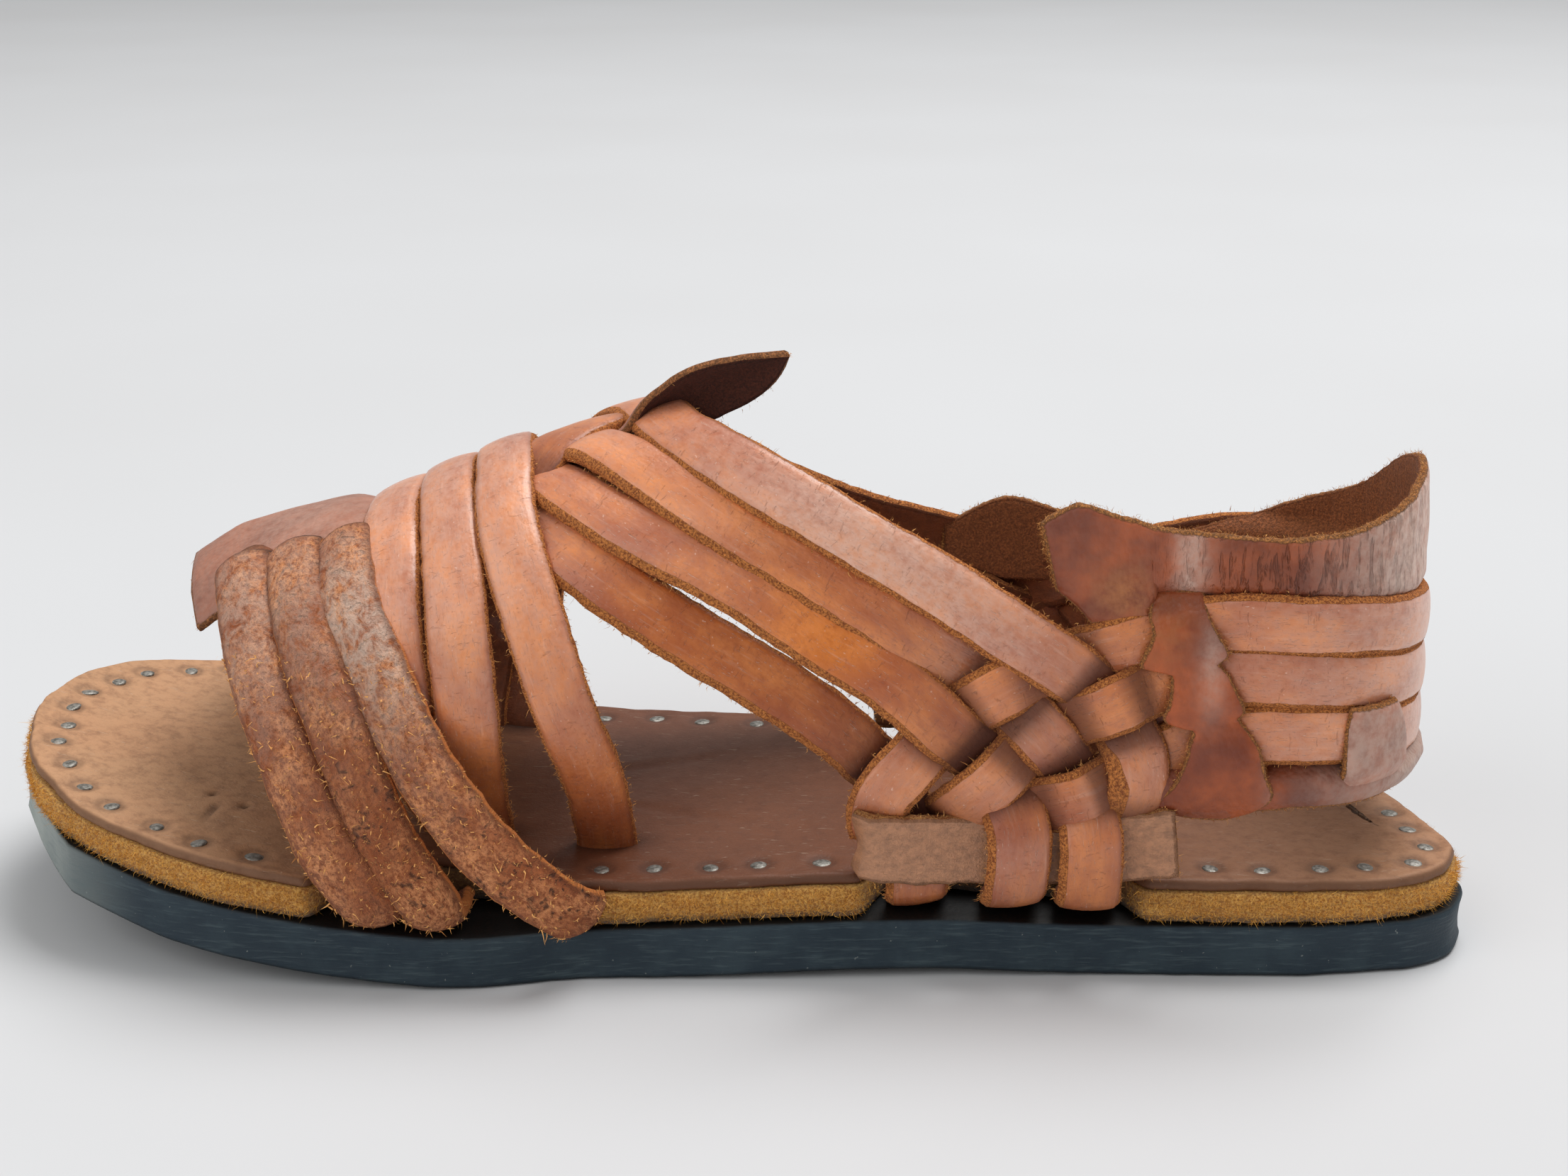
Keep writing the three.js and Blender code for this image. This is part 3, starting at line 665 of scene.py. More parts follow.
def spine_of(loop):
    """The point on the sole's long middle line that each outline point closes in on."""
    x = np.clip(loop[:, 0], SPINE_FRONT, SPINE_BACK)
    turn = np.arccos(np.clip((EDGE_MIDDLE - x) / EDGE_HALF, -1, 1))
    y = (smooth(EDGE["turn"], EDGE["outer"], turn) + smooth(EDGE["turn"], EDGE["inner"], turn)) / 2
    return np.stack([x, y], axis=1)


def notch_share(loop, spine, soften=3.5):
    """How deep each outline point lies in a strap notch, 0 to 1, and the notch's floor."""
    share = np.zeros(len(loop))
    floor = np.zeros(len(loop))
    for start, end, level in zip(NOTCHES["start"], NOTCHES["end"], NOTCHES["floor"]):
        same = (loop[:, 1] < spine[:, 1]) == (level < 0)
        x = loop[:, 0]
        depth = ease(x, start - soften, start + soften) * (1 - ease(x, end - soften, end + soften))
        depth = depth * same
        floor = np.where(depth > share, level, floor)
        share = np.maximum(share, depth)
    return share, floor


def flat_top(level):
    """Height of a plain top face at this level, for sole_plate."""
    def height(flat):
        return level + sole_rise(flat[:, 0])

    return height


UNDERSIDE_RINGS = 2


def sole_plate(loop, spine, profile, inner_rings, height):
    """Rings from the middle of the underside, round the edge and in to the middle of the top.
    profile rows are inset and level. Inner rings are a share of the way to the middle, or a
    distance in from the edge where negative. height gives the top's own level over a place."""
    span = np.linalg.norm(spine - loop, axis=1)
    toward = (spine - loop) / span[:, None]
    count = len(loop)
    rings = []
    inset = []
    for share in np.linspace(1.0, 0.5, UNDERSIDE_RINGS):
        rings.append((loop + (spine - loop) * share, np.full(count, profile[0][1])))
        inset.append(span * share)
    for depth, level in profile:
        depth = np.broadcast_to(depth, count)
        rings.append((loop + toward * depth[:, None], np.broadcast_to(level, count)))
        inset.append(depth)
    last_depth = profile[-1][0]
    for ring in inner_rings:
        depth = last_depth + (span - last_depth) * ring if ring > 0 else np.full(count, -ring)
        rings.append((loop + toward * depth[:, None], None))
        inset.append(depth)
    points = []
    for flat, level in rings:
        z = height(flat) if level is None else level + sole_rise(flat[:, 0])
        points.append(np.column_stack([flat, z]))
    faces = []
    ring_start = np.arange(count)
    for r in range(len(rings) - 1):
        low = r * count + ring_start
        high = low + count
        faces.append(np.stack([low, np.roll(low, -1), np.roll(high, -1), high], axis=1))
    return np.concatenate(points), np.concatenate(faces).tolist(), np.concatenate(inset)


def notched(loop, spine):
    """The outline cut in at the notches, and how deep each point lies in one."""
    share, floor = notch_share(loop, spine)
    cut = loop.copy()
    cut[:, 1] += (floor - loop[:, 1]) * share
    return cut, share


NAIL_INSET = 6.0
NAIL_PITCH = 10.6


def nail_places():
    loop = edge_loop(0, NAIL_PITCH)
    spine = spine_of(loop)
    rng = np.random.default_rng(5)
    toward = unit(spine - loop)
    at = loop + toward * (NAIL_INSET + rng.uniform(-0.7, 0.7, (len(loop), 1)))
    at[:, 0] += rng.uniform(-1.2, 1.2, len(loop))
    share, _ = notch_share(loop, spine, 6.0)
    return at[share < 0.04]


NAILS = nail_places()
AWL_HOLES = [(-117, -28), (-115, -33), (-110, -31), (-108.6, -36), (-103, -12), (-101, -16)]
# x, y, length, width and slope of each
FOOTBED_CREASES = [
    (58, -24, 20, 1.5, 0.5), (66, -27, 16, 1.2, 0.6), (96, -22, 12, 1.3, -0.5),
    (-40, 8, 26, 1.6, 0.4), (-26, -14, 22, 1.3, -0.3), (74, 12, 18, 1.4, 0.7),
]
FOOTBED_TONE = columns(["x", "worn"], [
    (-160, 1), (-120, 0.95), (-95, 0.6), (-60, 0.12), (-10, 0.1), (40, 0.12), (75, 0.3), (95, 0.45),
    (127, 0.7),
])


def insole_height(flat):
    """Level of the footbed's top, with nail dimples, slot dips and the foot's own print."""
    x, y = flat.T
    z = INSOLE_TOP + sole_rise(x)
    for nx, ny in NAILS:
        away = np.hypot(x - nx, y - ny)
        z -= 0.55 * np.exp(-((away / 2.3) ** 2)) - 0.16 * np.exp(-(((away - 4.6) / 1.3) ** 2))
    for sx, sy in zip(SLOTS["x"], SLOTS["y"]):
        z -= 0.9 * bell(x, sx, 6.5) * bell(y, sy, 3.2)
    for hx, hy in AWL_HOLES:
        z -= 0.9 * np.exp(-((np.hypot(x - hx, y - hy) / 0.75) ** 2))
    foot_print = 1.1 * bell(x, -78, 26) * bell(y, -6, 26) + 1.3 * bell(x, 92, 22) * bell(y, -4, 15)
    z -= foot_print * 0.8
    z += 0.35 * lumps(np.column_stack([x, y, 0 * x]), 17.0, 3.0)
    z += 0.12 * lumps(np.column_stack([x, y, 0 * x]), 5.0, 9.0)
    for cx, cy, long, wide, slope in FOOTBED_CREASES:
        u = (x - cx) + slope * (y - cy)
        v = (y - cy) - slope * (x - cx)
        z -= 0.3 * bell(u, 0, long) * (bell(v, 0, wide) - 0.5 * bell(v, 2.4 * wide, wide))
    return z


GROOVE_INSET = 2.6
GROOVE_REACH = 0.5
GROOVE_DEPTH = 0.22


def build_insole():
    loop = edge_loop(0, EDGE_PITCH)
    spine = spine_of(loop)
    cut, _ = notched(loop, spine)
    n = len(cut)
    cut = cut + unit(spine - cut) * (0.35 * wander(n, 9, 11) + 0.12 * wander(n, 2, 12))[:, None]
    profile = [(1.2, INSOLE_BOTTOM), (0.2, INSOLE_BOTTOM), (-0.1, INSOLE_BOTTOM + 0.5),
               (-0.05, INSOLE_TOP - 0.9), (0.25, INSOLE_TOP - 0.35)]
    top_rings = [*-np.arange(0.7, 12.2, 0.75), *np.linspace(0.42, 1.0, 18)]
    points, faces, inset = sole_plate(cut, spine, profile, top_rings, insole_height)
    x, y = points[:, :2].T
    # darker round the nails, in the awl holes and in the strap slots: grime and painted shade
    grime_and_shade = np.zeros(len(points))
    for nx, ny in NAILS:
        away = np.hypot(x - nx, y - ny)
        grime_and_shade = np.maximum(grime_and_shade, 0.4 * np.exp(-(((away - 2.2) / 0.8) ** 2)))
    for hx, hy in AWL_HOLES:
        grime_and_shade = np.maximum(grime_and_shade, 0.95 * np.exp(-((np.hypot(x - hx, y - hy) / 0.8) ** 2)))
    for sx, sy in zip(SLOTS["x"], SLOTS["y"]):
        grime_and_shade = np.maximum(grime_and_shade, 0.9 * bell(x, sx, 7.5) * bell(y, sy, 3.2))
    worn = smooth(FOOTBED_TONE["x"], FOOTBED_TONE["worn"], x)
    on_top = points[:, 2] > INSOLE_BOTTOM + sole_rise(x) + 1
    groove = np.exp(-(((inset - GROOVE_INSET) / GROOVE_REACH) ** 2)) * on_top
    points[:, 2] -= GROOVE_DEPTH * groove
    piece("insole_leather", points, faces, FOOTBED, "insole",
          {"inset": inset, "grime_and_shade": grime_and_shade, "worn": worn})


MIDSOLE_UNDERCUT = [(9.0, MIDSOLE_BOTTOM), (1.2, MIDSOLE_BOTTOM)]
MIDSOLE_EDGE_RINGS = 9


def build_midsole():
    loop = edge_loop(0.9, EDGE_PITCH)
    spine = spine_of(loop)
    cut, share = notched(loop, spine)
    n = len(cut)
    cut = cut + unit(spine - cut) * (0.45 * wander(n, 14, 21) + 0.2 * wander(n, 3, 22))[:, None]
    thick = MIDSOLE_TOP - MIDSOLE_BOTTOM
    profile = [*MIDSOLE_UNDERCUT]
    for level in np.linspace(0, 1, MIDSOLE_EDGE_RINGS):
        bulge = 0.5 - 2.2 * (level - 0.55) ** 2
        fray = 0.16 * wander(n, 1.6, 40 + int(level * 8))
        profile.append((0.5 - bulge + fray, MIDSOLE_BOTTOM + 0.15 + level * (thick - 0.2)))
    points, faces, _ = sole_plate(cut, spine, profile, [-2.0, 0.5, 1.0], flat_top(MIDSOLE_TOP))
    level = (points[:, 2] - sole_rise(points[:, 0]) - MIDSOLE_BOTTOM) / thick
    deep = np.tile(share, len(points) // n)
    # the notches are painted dark: painted shade in the hollow under the straps
    piece("midsole_leather", points, faces, MIDSOLE, "midsole",
          {"burnish": 1 - ease(level, 0.12, 0.32), "grime_and_shade": 0.75 * deep})
    rings = points.reshape(-1, n, 3)
    out = np.column_stack([unit(cut - spine), np.zeros(n)])
    keep = share < 0.6
    foot = UNDERSIDE_RINGS + len(MIDSOLE_UNDERCUT)
    rim = foot + MIDSOLE_EDGE_RINGS - 1
    for k, ring in enumerate(rings[foot + 1:rim]):
        fibre_tufts("sole", ring[keep], out[keep], 60 + k, per_point=7.0, length=1.05, spread=0.75,
                    tone=0.62)
    fibre_tufts("sole", rings[rim][keep], out[keep], 69, per_point=2.0, length=0.9)


# Straight strokes of the knife on the outer side, from x to x.
STROKES = columns(["start", "end"], [(-160, -140), (-140, -117), (-60, -40), (70, 97), (97, 117)])
STROKE_FLATNESS = 0.75
BALL_BULGE = 1.4
BALL_BULGE_X = -62
BALL_BULGE_REACH = 16


def build_outsole():
    """Knife cut round the edge, in a few straight strokes on the outer side."""
    loop = edge_loop(2.4, EDGE_PITCH)
    spine = spine_of(loop)
    n = len(loop)
    outer = np.arange(n) < np.argmax(loop[:, 0])
    cut = loop.copy()
    for start, end in zip(STROKES["start"], STROKES["end"]):
        run = np.where(outer & (loop[:, 0] > start) & (loop[:, 0] < end))[0]
        chord = np.linspace(0, 1, len(run))[:, None]
        straight = loop[run[0]] + (loop[run[-1]] - loop[run[0]]) * chord
        cut[run] += (straight - loop[run]) * STROKE_FLATNESS
    side = bell(loop[:, 0], BALL_BULGE_X, BALL_BULGE_REACH) * BALL_BULGE * outer
    out = unit(loop - spine)
    cut += out * (side + 0.3 * wander(n, 20, 31) + 0.1 * wander(n, 4, 32))[:, None]
    lean = 0.5 * wander(n, 45, 33)
    profile = [(3.0, 0.0), (1.0, 0.0), (0.15, 0.5), (0.0, 1.2)]
    for level in np.linspace(0.2, 0.92, 7):
        hollow = 0.55 * math.sin(level * math.pi)
        profile.append((hollow + lean * (level - 0.5) + 0.06 * wander(n, 3, 50 + int(level * 20)),
                        level * OUTSOLE_THICK))
    profile.append((0.25, OUTSOLE_THICK - 0.3))
    profile.append((0.8, OUTSOLE_THICK))
    points, faces, _ = sole_plate(cut, spine, profile, [-3.0, -8.0, -14.0, 0.6, 1.0],
                                  flat_top(OUTSOLE_THICK))
    x = points[:, 0]
    level = (points[:, 2] - sole_rise(x)) / OUTSOLE_THICK
    # painted shade: a dark band at the foot of the edge and black along its top, under the midsole
    dark = 0.7 * (1 - ease(level, 0.03, 0.1)) + ease(level, 0.965, 0.995)
    piece("tyre_outsole", points, faces, RUBBER, "outsole",
          {"worn": 1 - ease(x, -158, -122), "dark": np.clip(dark, 0, 1)})


NAIL_SIDES = 14
NAIL_DOME = [(0.45, 0.33), (0.8, 0.22), (1.0, 0.0), (0.94, -0.5)]
NAIL_PROUD = 0.12


def build_nails():
    """Hammered heads, slightly oval and tilted, each a little different."""
    rng = np.random.default_rng(8)
    around = np.linspace(0, 2 * math.pi, NAIL_SIDES, endpoint=False)
    points = []
    faces = []
    for (x, y), z in zip(NAILS, insole_height(NAILS)):
        start = len(points)
        turn = rng.uniform(0, math.pi)
        wide, narrow = rng.uniform(1.85, 2.15), rng.uniform(1.5, 1.8)
        tilt = rng.uniform(-0.09, 0.09, 2)
        for share, up in NAIL_DOME:
            u = wide * share * np.cos(around)
            v = narrow * share * np.sin(around)
            px = u * math.cos(turn) - v * math.sin(turn)
            py = u * math.sin(turn) + v * math.cos(turn)
            level = z + up + tilt[0] * px + tilt[1] * py + NAIL_PROUD
            points += np.column_stack([x + px, y + py, level]).tolist()
        crown = len(points)
        points.append([x, y, z + 0.5])
        last = start + (len(NAIL_DOME) - 1) * NAIL_SIDES
        for k in range(NAIL_SIDES):
            m = (k + 1) % NAIL_SIDES
            faces.append([crown, start + k, start + m])
            for low in range(start, last, NAIL_SIDES):
                faces.append([low + k, low + NAIL_SIDES + k, low + NAIL_SIDES + m, low + m])
        faces.append([last + k for k in reversed(range(NAIL_SIDES))])
    piece("clench_nails", np.array(points), faces, NAIL, "insole", {})


# ---- straps ---------------------------------------------------------------
SPREAD = np.array([-1, -0.95, -0.86, -0.68, -0.42, -0.14, 0.14, 0.42, 0.68, 0.86, 0.95, 1])


def outward(points, run):
    """Square-on direction at each station: the last's, carried along where that one fails."""
    field = last_normals(points)
    field -= (field * run).sum(1)[:, None] * run
    trust = ease(np.linalg.norm(field, axis=1), 0.45, 0.8)
    field = unit(field)
    out = np.zeros_like(points)
    middle = int(np.argmax(trust))
    out[middle] = field[middle]
    for order in (range(middle + 1, len(points)), range(middle - 1, -1, -1)):
        before = out[middle]
        for i in order:
            carried = unit(before - (before @ run[i]) * run[i])
            mixed = field[i] * trust[i] + carried * (1 - trust[i])
            out[i] = unit(mixed - (mixed @ run[i]) * run[i])
            before = out[i]
    return out


def strap_grid(rows, width, seed, crown=0.25, edge=None, taper=None, step=1.5, rough=1.0):
    """Middle surface of a strap through rows of x, y, z, lift off the last and roll. Its face
    lies square to the last, or it keeps one edge towards a direction where edge gives that.
    Gives the grid, and at each station length, width across, place in the table and lift."""
    table = np.array([(list(row) + [0, 0])[:5] for row in rows], float)
    points, spot, length = run_through(table[:, :3], step)
    index = np.arange(len(table))
    lift = smooth(index, table[:, 3], spot)
    roll = np.radians(smooth(index, table[:, 4], spot))[:, None]
    run = unit(np.gradient(points, axis=0))
    out = outward(points, run) if edge is None else unit(np.cross(run, np.array(edge)))
    points = points + out * lift[:, None]
    run = unit(np.gradient(points, axis=0))
    out = unit(out - (out * run).sum(1)[:, None] * run)
    out = out * np.cos(roll) + np.cross(run, out) * np.sin(roll)
    side = np.cross(out, run)
    n = len(points)
    share = 1.0 if taper is None else smooth(taper["place"], taper["share"], spot)
    left, right = (width / 2 * share * (1 + 0.035 * rough * wander(n, 12, seed + k))
                   + 0.13 * rough * wander(n, 1.5, seed + k + 1) for k in (0, 2))
    across = np.where(SPREAD[None, :] < 0, SPREAD * left[:, None], SPREAD * right[:, None])
    swell = crown * (1 - SPREAD[None, :] ** 2) + 0.16 * wander(n, 7, seed + 4)[:, None] * SPREAD
    grid = points[:, None] + side[:, None] * across[..., None] + out[:, None] * swell[..., None]
    return grid, length, across, spot, lift


# A strap is painted darker where it is sunk under another, and where it dives under it: painted shade.
SUNK_PAINTED_SHADE = 0.6
DIVE_PAINTED_SHADE = 0.8
DIVE_SLOPES = (0.14, 0.44)


def strap(name, rows, width, seed, shade, fray=None, thick=STRAP_THICK, finish=STRAP,
          slot="strap_leather", torn=None, **shape):
    """One strap as its own piece. shade rows are place in the table, pale, dark and gold: pale is a painted
    highlight (on suede also dust), dark is painted shade. fray rows are place and the width of the raw band
    along the first edge, the lower one on the outer side, and along the other. torn is how cracked a suede
    strap is."""
    grid, length, across, spot, lift = strap_grid(rows, width, seed, **shape)
    shade = columns(["place", "pale", "dark", "gold"], shade)
    paint = {key: smooth(shade["place"], shade[key], spot)[:, None]
             for key in ("pale", "dark", "gold")}
    # painted shade: darker where the strap is sunk under another and where it dives
    sunk = np.clip(-lift - 0.6, 0, 1)[:, None]
    dive = ease(np.abs(np.gradient(lift, length)), *DIVE_SLOPES)[:, None]
    paint["dark"] = np.clip(paint["dark"] + SUNK_PAINTED_SHADE * sunk + DIVE_PAINTED_SHADE * dive, 0, 1)
    if torn is not None:
        paint["torn"] = torn * (0.5 + 0.5 * ease(spot, 5, 3)[:, None])
    fray = columns(["place", "first", "other"], fray or [(0, 0, 0), (1, 0, 0)])
    bare = [smooth(fray["place"], fray[key], spot)[:, None] for key in ("first", "other")]
    from_edge = [across - across[:, :1], across[:, -1:] - across]
    raw = sum(ease(band - gap, -0.5, 0.5) * (band > 0.2) for band, gap in zip(bare, from_edge))
    points, faces, whole, edge, face = slab(
        grid, thick, seed + 5, along=length[:, None], across=across,
        strand=np.full((1, 1), seed / 10), raw=raw, **paint)
    piece(name, points, faces, finish, "upper_straps", whole)
    group = "strap" if torn is None else "suede"
    fibre_tufts(group, edge["at"], edge["out"], seed + 6, per_point=3.0, length=0.85, spread=0.8,
                tone=0.7, wide=0.07)
    return face


TOE_STRAPS = [
    [
        (-80, -43, 14.0), (-79, -53, 14.6), (-79, -57, 19), (-85, -57, 28), (-92, -54, 43),
        (-99, -47, 56), (-104, -36, 65, 0.4), (-108, -23.5, 70.2, 1.4), (-109.3, -18, 70.9, -0.9),
        (-112, -3, 69.5, -2), (-114, 12, 64, -0.6), (-115, 27, 54), (-115, 38, 42), (-114, 44.5, 32),
        (-114, 46, 24), (-113, 38, 19.6),
    ],
    [
        (-68, -42, 13.4), (-67, -53, 14.4), (-67, -57, 19), (-74, -56, 29), (-81, -54, 45),
        (-87, -49, 58), (-93, -38, 68, 0.4), (-97.8, -23.5, 73.2, 1.4), (-99.2, -18, 73.8, -0.9),
        (-101, -3, 72.5, -2), (-102, 12, 67, -0.6), (-102, 28, 56), (-102, 40, 43), (-101, 46, 32),
        (-101, 47, 22), (-100, 38, 17.2),
    ],
    [
        (-42, -43, 13), (-40, -51, 14.5), (-43, -54.6, 17.5), (-50, -55.5, 23), (-59, -54.8, 32),
        (-68, -53, 45), (-76, -48, 59), (-83, -39, 70, 0.4), (-87.2, -24, 76.2, 1.4),
        (-88.3, -18, 76.8, -0.9), (-89, -3, 75.6, -2), (-89, 12, 70, -0.6), (-89, 28, 59),
        (-88, 41, 45), (-87, 46.5, 32), (-87, 47, 21), (-87, 38, 15.2),
    ],
]
VAMP_STRAPS = [
    [
        (-68, -25, 13), (-69, -27, 21), (-71, -38, 35), (-72.5, -45.5, 52), (-75, -42.5, 66),
        (-77, -33, 76), (-80, -18, 81.5, 0.5), (-81, -3, 81.5, 0.9), (-82, 12, 77, 0.5), (-83, 28, 65),
        (-83, 40, 50), (-83, 41, 36), (-83, 31, 23), (-83, 30, 14),
    ],
    [
        (-63, -25, 12.6), (-63, -26, 20), (-62, -36, 34), (-60.8, -46, 50), (-62, -44.5, 67),
        (-65, -34, 79.5), (-69, -18, 86, 0.5), (-71, -3, 86.3, 0.9), (-72, 12, 81, 0.5), (-73, 28, 68),
        (-74, 41, 52), (-75, 42, 36), (-76, 32, 22), (-76, 31, 13.4),
    ],
    [
        (-38, -28, 12.6), (-38, -29, 20), (-38.5, -38, 36), (-42.6, -46.5, 54), (-48.8, -42, 71, 0.4),
        (-55, -30, 84.5, 1.2), (-58, -14, 91, 1.3), (-60, -3, 91, 0.9), (-62, 12, 85, 0.4),
        (-63, 28, 72), (-64, 42, 55), (-66, 43, 36), (-67, 33, 21), (-67, 32, 13.2),
    ],
]
SIDE_STRAPS = [
    [
        (-24, -17, 98.6, 0.9, -6), (-9, -30, 94.4, 1.0, -9), (8, -36, 87, 1.0, -9),
        (26, -38, 77, 1.0, -8),
        (40, -38.5, 68.5, 1.6, -4), (50, -38.4, 62.3, 1.9), (57.5, -37.6, 54.6, -1.8),
        (62.8, -37, 46, 2.0, -8), (63.6, -37.6, 39.5, 2.2, -14), (62.6, -38, 34, 0.6, -14),
        (61.6, -37, 29.5, -1.6, -8),
    ],
    [
        (-51, -4, 92, -2.2), (-45.5, -9.5, 94.4, -1.4), (-40.5, -15, 95.6, 0.1, -6),
        (-28, -25.5, 93, 0.4, -9), (-14, -33.4, 87.2, 0.3, -9), (9, -38, 75.4, 0.2, -9),
        (24, -39, 66, 0.6, -4), (36.5, -38.2, 57.2, -1.8),
        (45.8, -38.9, 49.2, 2.3), (53, -38.5, 38.5, -1.5), (55.3, -42.4, 31, 0.8), (55.5, -43.6, 25, 0.5),
        (55.3, -43.4, 19, 0.3), (55, -38, 15.2, 0), (55, -32, 14, 0),
    ],
    [
        (-61, -6, 90, -2), (-54.5, -13, 90.8, -1.8), (-47.5, -21.5, 90, -0.3, -4),
        (-34, -31.4, 85.5, 0.2, -9),
        (-11, -38, 76.4, 0.2, -9), (6, -40, 66, 0.5, -9), (18, -41, 59, 0.9, -4), (27.6, -41, 50.8, 2.2),
        (36.8, -39.6, 41.5, -1.7), (41.4, -42.8, 33, 0.8), (42, -44.4, 26, 0.5), (41.6, -44.2, 20, 0.3),
        (41, -38, 15.2, 0), (41, -32, 14, 0),
    ],
    [
        (-60, -20, 88, -2.2), (-54, -26, 86.5, -2), (-47, -32, 82.5, -0.9), (-37, -37, 76.5, 0, -6),
        (-24, -39.5, 69, 0.2, -9), (-8, -41, 60, 0.2, -9), (5, -42, 52, 0.2, -6), (12.5, -41.6, 45.2, -0.9),
        (18.4, -40.4, 37.2, -1.9), (21.5, -39.4, 29, -1.6), (22.8, -39.6, 22, -0.4), (22.8, -40.4, 17.4, 0),
        (22.8, -37, 14.4, 0), (22.8, -31, 13.6, 0),
    ],
]
OUTER_OVER_INSTEP = [
    (-71, 32, 13.2), (-71, 34, 21), (-70, 45, 38), (-64, 44, 57), (-53, 33, 76),
    (-41, 17, 91, 1.2), (-32.5, 1, 98, 1.4),
]
INNER_OVER_INSTEP = [
    (-63, -35, 79.5, -2), (-59, -28, 84.6, -2), (-55, -20.5, 89, -1.2), (-49.5, -12, 92.6, 1.3),
    (-42, -3, 95, 1.2), (-36, 3, 96.6, -0.6),
]
HEEL_ROUND = [(84, -37.2), (92, -37.3), (102, -33.5), (111, -25.5), (116.5, -14), (118.5, -3)]


def round_heel(*heights):
    return [(x, y, z) for (x, y), z in zip(HEEL_ROUND, heights)]


ANKLE_STRAPS = [
    [
        (15.6, -39, 28), (15.4, -40.6, 33, 0.3), (17, -42, 38.6, 1.6), (22, -41.6, 44.5, 1.2),
        (27.8, -39.7, 50.6, -1.7), (36.6, -39.4, 57.6, 1.9), (49.5, -38.4, 62.8, -1.8),
        (60, -37.2, 66.3, -0.5), (68, -36.6, 68.6, -0.9), (78, -36.4, 70.6, -0.4),
        *round_heel(71.3, 71, 70, 68, 65.8, 64),
    ],
    [
        (27.5, -37, 30, -1.6), (31, -39.8, 34.5, 0.8), (37.5, -40.4, 41, 2.1), (46, -38.6, 48.8, -1.7),
        (57.8, -38.4, 55.2, 2.1), (66, -37.2, 58.4, -0.3), (72, -36.6, 59.7, -0.9),
        (78, -36.4, 60.6, -0.4), *round_heel(61, 60.8, 59.6, 57.4, 55.2, 53.6),
    ],
    [
        (41.5, -37.5, 33, -1.4), (45.5, -39.6, 35, 0.4), (53, -39.6, 37.6, 2.3), (62.5, -38, 41.6, -1.7),
        (70, -36.8, 45.6, -0.9), (78, -36.4, 48.4, -0.4),
        *round_heel(49.6, 49.8, 48.8, 46.8, 45, 43.8),
    ],
]
FOOT_BAND = [
    (21, -39.6, 28.6), (15.5, -40.2, 28.6), (12.4, -42, 28), (13.6, -44, 27.2), (20, -43.6, 26.4),
    (34, -41, 26), (52, -40, 26.3), (62, -39.8, 27.2), (71, -39.6, 28.2),
]


# Rows of place in the strap's table, pale, dark and gold. pale is a painted highlight, on the suede toe
# straps also dust; dark is painted shade.
TOE_SHADES = [
    [(0, 0.0, 0.3, 0), (2, 0.05, 0.1, 0), (4, 0.15, 0, 0), (6, 0.55, 0, 0), (8, 0.1, 0, 0),
     (10, 0.1, 0.2, 0), (15, 0, 0, 0)],
    [(0, 0.0, 0.3, 0), (2, 0.0, 0.15, 0), (4, 0.1, 0.05, 0), (6, 0.45, 0, 0), (8, 0.15, 0, 0),
     (10, 0.1, 0.2, 0), (15, 0, 0, 0)],
    [(0, 0.0, 0.3, 0), (2, 0.0, 0.1, 0), (5, 0.2, 0, 0), (6.5, 0.95, 0, 0), (7.5, 0.55, 0, 0),
     (8.3, 0.1, 0, 0), (11, 0.1, 0.2, 0), (15, 0, 0, 0)],
]
TOE_TORN = [0.3, 1.0, 1.0]
LINT_TOP = 62.0
VAMP_SHADE = [
    (0, 0.0, 0.7, 0), (1.3, 0.1, 0.35, 0.2), (2.4, 0.15, 0.0, 0.35), (4, 0.45, 0, 0.1),
    (6, 0.6, 0, 0), (8, 0.5, 0, 0), (11, 0.2, 0.2, 0), (13, 0, 0.6, 0),
]
SIDE_SHADES = [
    [(0, 0.25, 0.1, 0), (6, 0.3, 0, 0), (8, 0.5, 0, 0), (9, 0.9, 0, 0), (11, 0.55, 0, 0),
     (12, 0.3, 0.1, 0.1), (14, 0.35, 0, 0.1), (18, 0.1, 0.3, 0)],
    [(0, 0.4, 0, 0), (2, 0.4, 0, 0.2), (4, 0.2, 0, 0.5), (5, 0.1, 0, 0.3), (6, 0.2, 0.2, 0),
     (7, 0.6, 0, 0.3), (8.4, 0.2, 0.2, 0), (10, 0.2, 0.05, 0.3), (13, 0, 0.5, 0)],
    [(0, 0.25, 0, 0), (2, 0.3, 0, 0), (4, 0.15, 0, 0.2), (5, 0.0, 0, 0.9), (5.8, 0.05, 0.05, 0.3),
     (6.6, 0.1, 0.2, 0), (8, 0.05, 0.45, 0), (9, 0.1, 0.25, 0), (10, 0.3, 0.1, 0), (12, 0, 0.5, 0)],
    [(0, 0.2, 0.1, 0), (2, 0.25, 0.05, 0), (4, 0.0, 0.15, 0.2), (6, 0, 0.35, 0.1), (8, 0, 0.8, 0),
     (9.5, 0.3, 0.1, 0), (12, 0, 0.5, 0)],
]
HIDDEN_SIDE_SHADE = [(0, 0.05, 0.4, 0), (3, 0.15, 0.25, 0), (5, 0.4, 0.1, 0), (14, 0.3, 0.1, 0)]
BAND_SHADE = [(0, 0, 0.3, 0), (3, 0.1, 0, 0.2), (5, 0.3, 0, 0), (6, 0.1, 0.2, 0), (8, 0, 0.15, 0)]
# Rows of place, raw width along the first edge and along the other.
TURNED_LOW_END = [(0, 0.8, 0), (13, 0.8, 0), (15, 3.5, 0), (18, 4.5, 0)]
RAW_BELOW = [(0, 0.8, 0), (99, 0.8, 0)]
RAW_BELOW_MIRRORED = [(0, 0, 0.8), (99, 0, 0.8)]
RAW_BOTH = [(0, 0.6, 0.5), (99, 0.6, 0.5)]
SMOOTH_CROWN = 0.65


